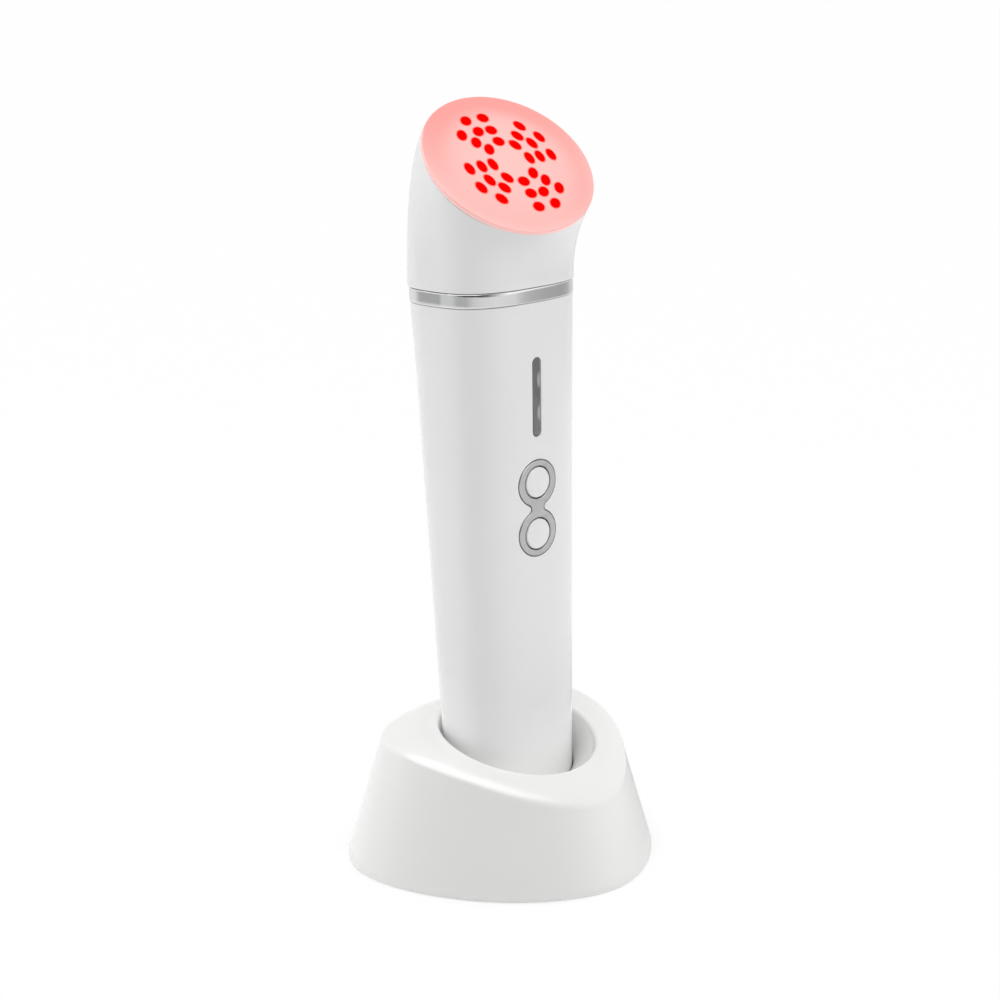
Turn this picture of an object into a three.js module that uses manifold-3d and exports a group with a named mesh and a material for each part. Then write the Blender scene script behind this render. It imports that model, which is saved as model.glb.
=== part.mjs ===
// Hot and cold facial massager, standing in its charging stand.
// Millimetres, +Z up. The stand rests on z = 0 and the button side faces -Y.
// The handset has its own frame: it starts under the handset's foot, +Z runs along the leaning
// barrel and -Y is the button side. The front panel and the slanted face each have a frame too.

import * as THREE from "three";
import { mergeVertices } from "three/addons/utils/BufferGeometryUtils.js";
import Module from "manifold-3d";

const wasm = await Module();
wasm.setup();

const half = (length) => length / 2;
const mix = THREE.MathUtils.lerp;

// Clearances
const gap = 0.3;
const slideGap = 0.4;
const screwGap = 0.3;
const cutPast = 1;

// Steps round the round pieces
const roundSteps = 32;
const boreSteps = 18;
const turnSteps = 14;
const screwSteps = 8;

// Barrel: a tapered oval with flattened sides
const barrelLength = 142.2;
const barrelFootWidth = 36.3;
const barrelFootDepth = 24.4;
const barrelTopWidth = 42;
const barrelTopDepth = 34;
const barrelPower = 2.8;
const barrelWall = 2;
const backSwell = 0.9;
const swellLength = 24;

// Neck that carries the ring, the seal and the head
const neckInset = 2.4;
const neckStep = 1.2;
const neckStepHeight = 6;
const neckHeight = 9;
const neckWall = 1.6;
const sealHeight = 1.3;

// Chrome ring
const ringHeight = 4;
const ringProud = 0.15;
const ringChamfer = 0.3;

// Head shell: how far its foot stands past the barrel's top
const headProudSide = 0.3;
const headProudFront = 0.6;
const headProudBack = 0.83;
const headWall = 2;
const headSteps = 7;
const headInsideSteps = 3;
const headPullMean = 0.695;
const headPullSwing = 0.151;
const headWaistShare = 0.96;

// Slanted face: its centre above the barrel's top and ahead of its axis, and its tilt
const faceRise = 35.05;
const faceForward = 8.215;
const faceCentreZ = barrelLength + faceRise;
const faceCentreY = -faceForward;
const faceTilt = THREE.MathUtils.degToRad(48.6);
const rimWidth = 53;
const rimHeight = 43.7;
const rimShift = -0.16;
const rimSeam = -0.8;
const ledgeTop = -3.3;
const ledgeThick = 4;

// Lens
const lensInset = 3.4;
const lensPlugLow = -1.6;
const lensRound = 0.4;
const lensDome = 0.7;
const lensSealThick = 1.1;

// Round seat for the diode board, inside the smaller span of the rim
const rimExtra = 9.3;
const topExtra = 1.9;
const sealLand = 0.85;
const boardLip = 2;
const faceSpan = Math.min(rimHeight, rimWidth - rimExtra, barrelTopWidth + topExtra);
const ledgeHoleRadius = half(faceSpan) - lensInset - sealLand;
const boardLipRadius = ledgeHoleRadius - boardLip;

// Light-emitting diodes: groups of eight on lines that fan out from the middle.
// Their radii are shares of the board's radius.
const ledLength = 3.5;
const ledWidth = 2.8;
const ledHeight = 0.75;
const ledGroups = 4;
const ledGroupTurn = THREE.MathUtils.degToRad(65.2);
const ledFan = THREE.MathUtils.degToRad(22.5);
const ledSideShares = [0.376, 0.595, 0.835];
const ledMiddleShares = [0.656, 0.899];
const ledBoardThick = 1.4;

// Hot and cold module and its heat sink
const moduleCornerRoom = 1.46;
const moduleSide = (boardLipRadius - moduleCornerRoom) * Math.SQRT2;
const modulePlate = 0.7;
const moduleThick = 3.4;
const moduleEdge = 1;
const sinkReach = 2;
const sinkShort = 0.5;
const sinkWidth = moduleSide + 2 * sinkReach;
const sinkHeight = moduleSide - 2 * sinkShort;
const sinkBase = 2.5;
const finCount = 7;
const finThick = 1.2;
const finDepth = 6.5;
const sinkEarHeight = 5;
const sinkEarEdge = 2.3;
const sinkScrewRoom = 2;
const sinkScrewX = boardLipRadius + sinkScrewRoom;
const sinkEarReach = sinkScrewX + sinkEarEdge;
const sinkBossRadius = 1.9;
const sinkScrewReach = 1.6;

// Front panel: keys, trim and indicator, placed from the middle of the two keys
const panelBelow = 55.1;
const panelHeight = barrelLength - panelBelow;
const keySpacing = 14.1;
const bezelApart = 0.55;
const bezelBand = 2;
const bezelOuterRadius = half(keySpacing) - bezelApart;
const bezelInnerRadius = bezelOuterRadius - bezelBand;
const keyRadius = bezelInnerRadius - slideGap;
const keyProud = 0.25;
const keyDome = 0.2;
const keyEdge = 0.4;
const keyFlangeReach = 1.3;
const keyFlangeRadius = keyRadius + keyFlangeReach;
const keyFlangeTop = 2.5;
const keyFlangeThick = 0.7;
const keyStemRadius = 1.5;
const keyStemEnd = 4.2;
const bezelWaist = 4.3;
const bezelThick = 1;
const bezelProud = 0.12;
const windowAbove = 30;
const windowLength = 20.9;
const windowWidth = 2.7;
const windowSunk = 0.15;
const windowFlangeEdge = 1.6;
const windowFlangeThick = 1;
const lampOffsets = [4.6, -4.2];
const lampLength = 3.2;
const lampWidth = 1.6;
const lampHeight = 1;

// Electronics behind the panel, as depths below the front surface
const switchTop = 4.8;
const switchPlungerHeight = 0.6;
const switchPlungerRadius = 1.7;
const switchSide = 6;
const boardTop = 7.6;
const boardThick = 1.2;
const boardCorner = 2;
const boardSide = 2;
const boardLow = -26;
const boardPastWindow = 17;
const boardHigh = windowAbove + boardPastWindow;
const boardScrewEdge = 5;
const boardScrewLow = boardLow + boardScrewEdge;
const screwPastWindow = 8.4;
const boardScrewHigh = windowAbove + screwPastWindow;
const chipSide = 6;
const chipHeight = 0.9;
const frameTop = 10.1;
const frameThick = 1.2;
const frameSideRoom = 4.65;
const frameWidth = barrelFootWidth - 2 * frameSideRoom;
const boardWidth = frameWidth - 2 * boardSide;
const frameFoot = 8.1;
const frameLow = frameFoot - panelHeight;
const frameBossRadius = 2.6;
const frameHigh = boardScrewHigh + frameBossRadius;
const railThick = 1;
const railDepth = 5;
const batterySide = 1.5;
const batteryWidth = frameWidth - 2 * batterySide;
const batteryRoom = 16.4;
const batteryThick = barrelFootDepth - batteryRoom;
const batteryFoot = 16.1;
const batteryLow = batteryFoot - panelHeight;
const batteryTop = -13;
const batteryLength = batteryTop - batteryLow;
const batteryCorner = 3;

// Frame's foot block, which the cap's screws go into
const blockWidth = frameWidth;
const blockFront = -6;
const blockBack = 3.4;
const blockLow = 7.5;
const blockHigh = 13;

// Vibration motor above the battery
const motorRadius = 4;
const motorAbove = 18.9;
const motorLow = panelHeight + motorAbove;
const motorLength = 14;
const motorShoulder = 1;
const motorY = 2;
const shaftRadius = 0.5;
const weightRadius = 3.8;
const weightLength = 4;
const weightHub = 1.4;
const cradleWidth = 13;
const cradleLength = 10;
const cradleReach = 4;

// Bottom cap and charge pads
const capSeam = 1.8;
const capFloor = 3.6;
const capSkirt = 7;
const capSkirtWall = 1.4;
const capRound = 1;
const padX = 4.5;
const padRadius = 2;
const padWellRadius = 2.4;
const padWellDepth = 2.4;
const padLow = 1.3;
const padThick = 0.8;
const padStemRadius = 0.8;
const padStemTop = 4.6;
const capScrewEdge = 2;
const capScrewX = half(blockWidth) - capScrewEdge;
const capScrewSink = 1.6;
const capScrewEnd = 11.8;

// Screws
const screwHeadRadius = 1.7;
const screwHeadHeight = 1.1;
const screwShankRadius = 0.85;

// Stand outlines: distances from a centre to the tangent, as a mean and waves round it
const lipRoom = 2.45;
const creaseReach = 12.75;
const footReach = 9.3;
const lipRadius = half(barrelFootWidth) + lipRoom;
const creaseMean = lipRadius + creaseReach;
const footMean = creaseMean + footReach;
const creaseWaves = [[2, -0.41], [3, 2.37], [4, 0.05], [6, -0.07]];
const footWaves = [[2, -1.58], [3, 2.22], [4, 0.64], [6, -0.07]];
const standFoot = { mean: footMean, waves: footWaves, centreY: -3 };
const standCrease = { mean: creaseMean, waves: creaseWaves, centreY: -4.47 };
const creaseHeight = 31.33;
const creaseSlope = 0.144;
const creaseSaddle = -2.22;
const creaseThird = -0.05;
const creaseRound = 2.6;
const topBulge = 0.5;
const lipCentreY = -4.68;
const lipRise = 3.36;
const lipHeight = creaseHeight + lipRise;
const lipSlope = 0.191;
const lipSaddle = -0.57;
const lipRound = 1.3;
const standWall = 2.4;
const shellLow = 0.3;
const shellRound = 0.4;
const wellClear = 0.55;
const wellStraight = 4;
const wellFloor = -1;
const wellFlangeReach = 5;
const wellFlangeTop = 1.5;
const wellWall = 2.2;

// Base plate, feet and posts
const plateLow = 0.6;
const plateTop = 2.4;
const footRadius = 4.5;
const footTop = 1.1;
const footDish = 0.3;
const footShares = [[-0.455, -0.655], [0.455, -0.655], [-0.44, 0.55], [0.44, 0.55]];
const postShares = [[-0.2585, -0.834], [0.2585, -0.834], [-0.5875, 0.4], [0.5875, 0.4]];
const footPlaces = footShares.map(([x, y]) => [x * footMean, y * footMean]);
const postPlaces = postShares.map(([x, y]) => [x * footMean, y * footMean]);
const postRadius = 2.8;
const postHoleTop = 9;
const postScrewTop = 8.2;

// Contact block and sprung pins, in the handset's frame
const plugTop = -0.3;
const blockPlateTop = -1.3;
const blockPlateLow = -3.5;
const blockPlateEdge = 0.4;
const blockScrewReach = 3.05;
const blockScrewX = half(barrelFootWidth) + blockScrewReach;
const blockScrewTop = 0.6;
const pinRadius = 0.75;
const pinTop = 1;
const pinLow = -4;
const pinBarrelRadius = 1.5;
const pinBarrelTop = -0.6;
const pinBarrelLow = -5.9;
const pinBarrelFloor = 0.45;

// Charging board and inlet
const chargeBoardWidth = 22;
const chargeBoardFront = -12;
const chargeBoardLow = 4;
const chargeBoardThick = 1.2;
const chargeScrewFront = 2.5;
const chargeScrewBack = 18;
const inletWidth = 8.9;
const inletHeight = 3.2;
const inletWall = 0.3;
const inletFloor = 1;
const inletLength = 7.5;
const inletSunk = 1;
const inletSeat = 5.5;
const inletTongueWidth = 6.7;
const inletTongueThick = 0.7;
const inletTongueShort = 1.2;

// Handset posture in the stand: its foot is as high as the pins over the charging board need
const handsetLean = THREE.MathUtils.degToRad(3);
const handsetFootY = -4.4;
const pinBoardRoom = 0.4;
const handsetFootZ = chargeBoardLow + chargeBoardThick + pinBoardRoom - pinBarrelLow;

// Cables
const cableRadius = 0.8;
const cableSteps = 10;
const cableHalfSides = 3;
// Head cable's points: share of the barrel's top width, back from its start and up from the
// board's end, then out from the heat sink, back from the module and down from the face
const headCableRise = [[0.19, 0, -4], [0.214, 0.5, 3], [0.262, 2, 12]];
const headCableEnd = [[2.5, 6.5, 17], [3, 6, 9]];
// Battery cable's points, as shares: across the cell's width, forward in its thickness and up in
// the room under the motor
const batteryCableRise = [[0.167, 0, 0], [0.167, 0, 0.14], [0.292, 0.125, 0.36], [0.375, 0.25, 0.67]];

// Materials
const plain = (color, roughness, metalness) => new THREE.MeshStandardMaterial({ color, roughness, metalness });
const whitePlastic = () => plain(0xf4f3f1, 0.2, 0);
const darkPlastic = () => plain(0x2b2d30, 0.5, 0);
const chrome = () => plain(0xc9ccd0, 0.1, 1);
const steel = () => plain(0x9a9da2, 0.35, 1);
const aluminium = () => plain(0xb4b8bd, 0.4, 1);
const brass = () => plain(0xc9a24d, 0.3, 1);
const rubber = () => plain(0x55575a, 0.85, 0);
const circuitBoard = () => plain(0x1f5b3a, 0.5, 0);
const ceramic = () => plain(0xe9e6df, 0.5, 0);

// Solid helpers
function toSolid(geometry) {
  const bare = geometry.clone();
  bare.deleteAttribute("normal");
  bare.deleteAttribute("uv");
  const welded = mergeVertices(bare, 1e-4);
  return new wasm.Manifold(new wasm.Mesh({
    numProp: 3,
    vertProperties: new Float32Array(welded.attributes.position.array),
    triVerts: new Uint32Array(welded.index.array),
  }));
}

function toGeometry(solid) {
  const data = solid.getMesh();
  const geometry = new THREE.BufferGeometry();
  geometry.setAttribute("position", new THREE.BufferAttribute(data.vertProperties, 3));
  geometry.setIndex(new THREE.BufferAttribute(data.triVerts, 1));
  return geometry;
}

const cut = (body, ...tools) =>
  toGeometry(tools.reduce((rest, tool) => rest.subtract(toSolid(tool)), toSolid(body)));
const join = (body, ...others) =>
  toGeometry(others.reduce((whole, other) => whole.add(toSolid(other)), toSolid(body)));
const overlap = (body, other) => toGeometry(toSolid(body).intersect(toSolid(other)));

// Rings of points, each going round counter-clockwise from above, skinned into a solid.
// A stack is capped at both ends. A tube's last ring meets its first.
function skin(rings, isTube) {
  const count = rings[0].length;
  const points = rings.flat();
  const indices = [];
  const bands = isTube ? rings.length : rings.length - 1;
  for (let band = 0; band < bands; band += 1) {
    const low = band * count;
    const high = ((band + 1) % rings.length) * count;
    for (let step = 0; step < count; step += 1) {
      const next = (step + 1) % count;
      indices.push(low + step, low + next, high + next);
      indices.push(low + step, high + next, high + step);
    }
  }
  if (!isTube) {
    const top = (rings.length - 1) * count;
    const lowCentre = points.push(middle(rings[0])) - 1;
    const topCentre = points.push(middle(rings[rings.length - 1])) - 1;
    for (let step = 0; step < count; step += 1) {
      const next = (step + 1) % count;
      indices.push(lowCentre, next, step);
      indices.push(topCentre, top + step, top + next);
    }
  }
  const geometry = new THREE.BufferGeometry().setFromPoints(points);
  geometry.setIndex(indices);
  return geometry;
}

const stack = (rings) => skin(rings, false);
const tube = (rings) => skin(rings, true);

function middle(ring) {
  const sum = ring.reduce((total, point) => total.add(point), new THREE.Vector3());
  return sum.divideScalar(ring.length);
}

const turns = Array.from({ length: roundSteps }, (_, step) => (step / roundSteps) * Math.PI * 2);

// Point on an oval at an angle from +X. Front and back can have different depths.
function ovalPoint(angle, width, front, back, power, z) {
  const across = Math.cos(angle);
  const along = Math.sin(angle);
  const depth = along < 0 ? front : back;
  const sum = Math.abs(across / width) ** power + Math.abs(along / depth) ** power;
  const radius = sum ** (-1 / power);
  return new THREE.Vector3(radius * across, radius * along, z);
}

const ovalRing = (width, front, back, power, z) =>
  turns.map((turn) => ovalPoint(turn, width, front, back, power, z));

function box(width, depth, height, x, y, z) {
  return new THREE.BoxGeometry(width, depth, height).translate(x, y, z);
}

// Upright cylinder between two heights
function post(radius, low, high, x, y, steps = screwSteps) {
  const geometry = new THREE.CylinderGeometry(radius, radius, high - low, steps);
  geometry.rotateX(Math.PI / 2);
  return geometry.translate(x, y, half(low + high));
}

// Turned piece from [radius, height] pairs, about +Z
function turned(profile, steps) {
  const points = profile.map(([radius, height]) => new THREE.Vector2(radius, height));
  const geometry = new THREE.LatheGeometry(points, steps);
  return geometry.rotateX(Math.PI / 2);
}

function roundedRectangle(width, height, corner) {
  const shape = new THREE.Shape();
  const right = half(width);
  const top = half(height);
  shape.moveTo(corner - right, -top);
  shape.lineTo(right - corner, -top);
  shape.absarc(right - corner, corner - top, corner, -Math.PI / 2, 0);
  shape.lineTo(right, top - corner);
  shape.absarc(right - corner, top - corner, corner, 0, Math.PI / 2);
  shape.lineTo(corner - right, top);
  shape.absarc(corner - right, top - corner, corner, Math.PI / 2, Math.PI);
  shape.lineTo(-right, corner - top);
  shape.absarc(corner - right, corner - top, corner, Math.PI, Math.PI * 1.5);
  return shape;
}

function slab(shape, low, high, curveSegments = 5) {
  const geometry = new THREE.ExtrudeGeometry(shape, { depth: high - low, bevelEnabled: false, curveSegments });
  return geometry.translate(0, 0, low);
}

function circleHole(x, y, radius) {
  const hole = new THREE.Path();
  hole.absarc(x, y, radius, 0, Math.PI * 2, true);
  return hole;
}

// Screw with its head's underside at z = 0, the shank going to -Z and the head to +Z
function screw(shankLength) {
  return turned([
    [0, -shankLength],
    [screwShankRadius, -shankLength],
    [screwShankRadius, 0],
    [screwHeadRadius, 0],
    [screwHeadRadius * 0.8, screwHeadHeight],
    [0, screwHeadHeight],
  ], screwSteps);
}

// Barrel sections
const swellAt = (height) =>
  backSwell * THREE.MathUtils.smoothstep(height, barrelLength - swellLength, barrelLength + swellLength / 2);

function barrelSize(height) {
  const share = height / barrelLength;
  const front = half(mix(barrelFootDepth, barrelTopDepth, share));
  return {
    width: half(mix(barrelFootWidth, barrelTopWidth, share)),
    front,
    back: front + swellAt(height),
  };
}

function barrelRing(height, inset, z = height) {
  const size = barrelSize(height);
  return ovalRing(size.width - inset, size.front - inset, size.back - inset, barrelPower, z);
}

const neckRing = (inset, rise) => barrelRing(barrelLength, inset, barrelLength + rise);

// Frames of the front panel and the slanted face, inside the handset's frame
const panelSlope = Math.atan(half(barrelTopDepth - barrelFootDepth) / barrelLength);

function panelGroup() {
  const group = new THREE.Group();
  group.position.set(0, -barrelSize(panelHeight).front, panelHeight);
  group.rotation.x = Math.PI / 2 + panelSlope;
  return group;
}

function faceGroup() {
  const group = new THREE.Group();
  group.position.set(0, faceCentreY, faceCentreZ);
  group.rotation.x = faceTilt;
  return group;
}

function placedIn(group, geometry) {
  group.updateMatrix();
  return geometry.applyMatrix4(group.matrix);
}

const inPanel = (geometry) => placedIn(panelGroup(), geometry);
const inFace = (geometry) => placedIn(faceGroup(), geometry);

// Handle shell: barrel and neck in one, open at both ends, with the panel's openings
function handleShell() {
  const swellStart = barrelLength - swellLength;
  const outside = [capSeam, swellStart, swellStart + swellLength / 3, barrelLength - swellLength / 3, barrelLength];
  const inside = [barrelLength - cutPast, swellStart, capSeam];
  const body = tube([
    ...outside.map((height) => barrelRing(height, 0)),
    neckRing(neckInset, 0),
    neckRing(neckInset, neckStepHeight),
    neckRing(neckInset + neckStep, neckStepHeight),
    neckRing(neckInset + neckStep, neckHeight),
    neckRing(neckInset + neckStep + neckWall, neckHeight),
    neckRing(neckInset + neckStep + neckWall, 0),
    ...inside.map((height) => barrelRing(height, barrelWall)),
  ]);
  const bores = keyOffsets().map((offset) =>
    post(keyRadius + slideGap, -keyFlangeTop - cutPast, cutPast, 0, offset, boreSteps));
  const slot = slab(stadium(windowWidth + slideGap, windowLength + slideGap), -keyFlangeTop - cutPast, cutPast);
  const recess = slab(bezelOutline(gap), -bezelThick - gap + bezelProud, cutPast, 8);
  return cut(body, inPanel(recess), inPanel(slot.translate(0, windowAbove, 0)), ...bores.map(inPanel));
}

const keyOffsets = () => [half(keySpacing), -half(keySpacing)];

// Long shape with round ends
function stadium(width, length) {
  const shape = new THREE.Shape();
  const radius = half(width);
  const reach = half(length) - radius;
  shape.absarc(0, reach, radius, 0, Math.PI);
  shape.absarc(0, -reach, radius, Math.PI, Math.PI * 2);
  return shape;
}

// Figure-eight outline: two circles joined by a waist with hollow fillets, grown by a margin
function bezelOutline(margin) {
  const radius = bezelOuterRadius + margin;
  const waist = half(bezelWaist) + margin;
  const rise = half(keySpacing);
  const fillet = (waist ** 2 + rise ** 2 - radius ** 2) / (2 * (radius - waist));
  const turn = Math.atan2(rise, waist + fillet);
  const shape = new THREE.Shape();
  shape.absarc(0, rise, radius, -turn, Math.PI + turn, false);
  shape.absarc(-waist - fillet, 0, fillet, turn, -turn, true);
  shape.absarc(0, -rise, radius, Math.PI - turn, turn, false);
  shape.absarc(waist + fillet, 0, fillet, Math.PI + turn, Math.PI - turn, true);
  return shape;
}

function buttonBezel() {
  const shape = bezelOutline(0);
  shape.holes = keyOffsets().map((offset) => circleHole(0, offset, bezelInnerRadius));
  return slab(shape, bezelProud - bezelThick, bezelProud, 8);
}

function panelKey() {
  return turned([
    [0, -keyStemEnd],
    [keyStemRadius, -keyStemEnd],
    [keyStemRadius, -keyFlangeTop - keyFlangeThick],
    [keyFlangeRadius, -keyFlangeTop - keyFlangeThick],
    [keyFlangeRadius, -keyFlangeTop],
    [keyRadius, -keyFlangeTop],
    [keyRadius, keyProud - keyEdge],
    [keyRadius - keyEdge, keyProud],
    [half(keyRadius), keyProud + keyDome * 0.8],
    [0, keyProud + keyDome],
  ], boreSteps);
}

function indicatorWindow() {
  const flangeEdge = 2 * windowFlangeEdge;
  const flange = slab(
    stadium(windowWidth + flangeEdge, windowLength + flangeEdge),
    -keyFlangeTop - windowFlangeThick,
    -keyFlangeTop,
  );
  const pane = slab(stadium(windowWidth, windowLength), -keyFlangeTop - half(windowFlangeThick), -windowSunk);
  return join(flange, pane);
}

function pressSwitch() {
  const bodyTop = -switchTop - switchPlungerHeight;
  const bodyLow = -boardTop + gap;
  const body = box(switchSide, switchSide, bodyTop - bodyLow, 0, 0, half(bodyTop + bodyLow));
  return join(body, post(switchPlungerRadius, bodyTop - switchPlungerHeight, -switchTop, 0, 0));
}

function mainBoard() {
  const middleY = half(boardLow + boardHigh);
  const shape = roundedRectangle(boardWidth, boardHigh - boardLow, boardCorner);
  const board = slab(shape, -boardTop - boardThick, -boardTop, 2);
  board.translate(0, middleY, 0);
  const chipRise = chipHeight + half(boardThick);
  const chipZ = -boardTop + chipHeight - half(chipRise);
  const chipY = half(keySpacing) + half(switchSide) + half(chipSide) + 2 * gap;
  const chips = [-boardWidth / 4, boardWidth / 4].map((x) =>
    box(chipSide, chipSide, chipRise, x, chipY, chipZ));
  const holes = [boardScrewLow, boardScrewHigh].map((y) =>
    post(screwShankRadius + screwGap, -boardTop - boardThick - cutPast, -boardTop + cutPast, 0, y));
  return cut(join(board, ...chips), ...holes);
}

// Frame: a spine with rails round the battery, a cradle for the motor and a block at its foot
function innerFrame() {
  const spine = box(
    frameWidth,
    frameHigh - frameLow,
    frameThick,
    0,
    half(frameLow + frameHigh),
    -frameTop - half(frameThick),
  );
  const railX = half(batteryWidth) + gap + half(railThick);
  const railZ = -frameTop - half(railDepth);
  const railY = batteryLow + half(batteryLength);
  const rails = [-railX, railX].map((x) => box(railThick, batteryLength, railDepth, x, railY, railZ));
  const bossTop = -boardTop - boardThick - gap;
  const bosses = [boardScrewLow, boardScrewHigh].map((y) =>
    post(frameBossRadius, -frameTop - half(frameThick), bossTop, 0, y));
  const boardHoles = [boardScrewLow, boardScrewHigh].map((y) =>
    post(screwShankRadius + screwGap, -frameTop - frameThick - cutPast, bossTop + cutPast, 0, y));
  const upper = cut(join(spine, ...rails, ...bosses), ...boardHoles);
  const blockY = half(blockFront + blockBack);
  const block = box(blockWidth, blockBack - blockFront, blockHigh - blockLow, 0, blockY, half(blockLow + blockHigh));
  const cradleFront = spineBackY(motorLow) - frameThick / 2;
  const cradleBack = motorY + cradleReach;
  const cradleZ = motorLow + half(motorLength);
  const cradleDepth = cradleBack - cradleFront;
  const cradle = box(cradleWidth, cradleDepth, cradleLength, 0, half(cradleFront + cradleBack), cradleZ);
  const seatRadius = motorRadius + gap;
  const seat = post(seatRadius, motorLow - cutPast, motorLow + motorLength + cutPast, 0, motorY, boreSteps);
  const capHoles = [-capScrewX, capScrewX].map((x) =>
    post(screwShankRadius + screwGap, blockLow - cutPast, capScrewEnd + gap, x, 0));
  return cut(join(inPanel(upper), block, cradle), seat, ...capHoles);
}

// Where the frame's back surface lies at a height of the handset
const spineBackY = (height) => frameTop + frameThick - barrelSize(height).front;

function battery() {
  const shape = roundedRectangle(batteryWidth, batteryThick, batteryCorner);
  const cell = slab(shape, 0, batteryLength, 3).rotateX(-Math.PI / 2);
  return cell.translate(0, batteryLow, -frameTop - frameThick - gap - half(batteryThick));
}

function vibrationMotor() {
  return turned([
    [0, motorLow],
    [motorRadius, motorLow],
    [motorRadius, motorLow + motorLength - motorShoulder],
    [motorRadius * 0.9, motorLow + motorLength],
    [shaftRadius * 3, motorLow + motorLength],
    [shaftRadius * 3, motorLow + motorLength + gap],
    [shaftRadius, motorLow + motorLength + gap],
    [shaftRadius, motorLow + motorLength + weightLength + 3 * gap],
    [0, motorLow + motorLength + weightLength + 3 * gap],
  ], turnSteps);
}

// Off-centre weight: a half disc on a hub, about its own shaft
function motorWeight() {
  const shape = new THREE.Shape();
  const hubStart = Math.asin(weightHub / weightRadius) / 2;
  shape.absarc(0, 0, weightRadius, Math.PI + hubStart, -hubStart, false);
  shape.absarc(0, 0, weightHub, 0, Math.PI, false);
  shape.holes = [circleHole(0, 0, shaftRadius + gap)];
  const low = motorLow + motorLength + 2 * gap;
  return slab(shape, low, low + weightLength, 8);
}

// Bottom cap: a shallow cup whose skirt stands in the barrel
function bottomCap() {
  const skirt = barrelWall + gap;
  const cup = stack([
    barrelRing(0, capRound, 0),
    barrelRing(0, 0, capRound),
    barrelRing(0, 0, capSeam - gap),
    barrelRing(0, skirt, capSeam - gap),
    barrelRing(0, skirt, capSkirt),
    barrelRing(0, skirt + capSkirtWall, capSkirt),
    barrelRing(0, skirt + capSkirtWall, capFloor),
  ]);
  const padCuts = [-padX, padX].flatMap((x) => [
    post(padWellRadius, -cutPast, padWellDepth, x, 0, turnSteps),
    post(padStemRadius + gap, 0, capFloor + cutPast, x, 0),
  ]);
  const screwCuts = [-capScrewX, capScrewX].flatMap((x) => [
    post(screwHeadRadius + screwGap, -cutPast, capScrewSink, x, 0, turnSteps),
    post(screwShankRadius + screwGap, 0, capFloor + cutPast, x, 0),
  ]);
  return cut(cup, ...padCuts, ...screwCuts);
}

function chargePad() {
  return turned([
    [0, padLow],
    [padRadius, padLow],
    [padRadius, padLow + padThick],
    [padStemRadius, padLow + padThick],
    [padStemRadius, padStemTop],
    [0, padStemTop],
  ], turnSteps);
}

// Chrome ring round the neck, with a chamfer at each edge
function chromeRing() {
  const low = gap;
  const high = ringHeight - gap;
  const inner = neckInset - gap;
  return tube([
    neckRing(ringChamfer - ringProud, low),
    neckRing(-ringProud, low + ringChamfer),
    neckRing(-ringProud, high - ringChamfer),
    neckRing(ringChamfer - ringProud, high),
    neckRing(inner, high),
    neckRing(inner, low),
  ]);
}

function neckSeal() {
  const low = neckStepHeight + gap;
  const inner = neckInset + neckStep - gap;
  const outer = inner - neckStep - gap;
  return tube([
    neckRing(outer, low),
    neckRing(outer, low + sealHeight),
    neckRing(inner, low + sealHeight),
    neckRing(inner, low),
  ]);
}

// Head shell: each line runs from the ring up to the slanted rim, along a curve that leaves the
// ring straight up. The pull, the curve's control height, is longer at the back than in front.
function headLines(inset) {
  const top = barrelSize(barrelLength);
  const foot = ovalRing(
    top.width + headProudSide - inset,
    top.front + headProudFront - inset,
    top.back + headProudBack - inset,
    barrelPower,
    headFootZ(),
  );
  const rim = rimRing(inset);
  return foot.map((start, index) => {
    const end = rim[index];
    const pull = headPullMean + headPullSwing * Math.sin(turns[index]);
    const control = new THREE.Vector3(
      start.x * headWaistShare,
      start.y * headWaistShare,
      mix(start.z, end.z, pull),
    );
    return new THREE.QuadraticBezierCurve3(start, control, end);
  });
}

function headRings(inset, steps) {
  const lines = headLines(inset);
  return Array.from({ length: steps + 1 }, (_, step) => lines.map((line) => line.getPoint(step / steps)));
}

// Ring round the head's flare at a small height under the rim's plane
function flareRing(rise) {
  const up = new THREE.Vector3(0, -Math.sin(faceTilt), Math.cos(faceTilt));
  return headLines(0).map((line) => {
    const drop = line.v1.clone().sub(line.v2);
    return line.v2.clone().addScaledVector(drop, rise / drop.dot(up));
  });
}

const headFootZ = () => barrelLength + ringHeight;

// Rim outline in the handset's frame
function rimRing(inset) {
  return faceOval(inset, 0).map((point) => point.applyMatrix4(faceMatrix()));
}

function faceMatrix() {
  const group = faceGroup();
  group.updateMatrix();
  return group.matrix;
}

function faceOval(inset, rise) {
  const height = half(rimHeight) - inset;
  const ring = ovalRing(half(rimWidth) - inset, height, height, 2, rise);
  return ring.map((point) => point.add(new THREE.Vector3(0, rimShift, 0)));
}

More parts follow.
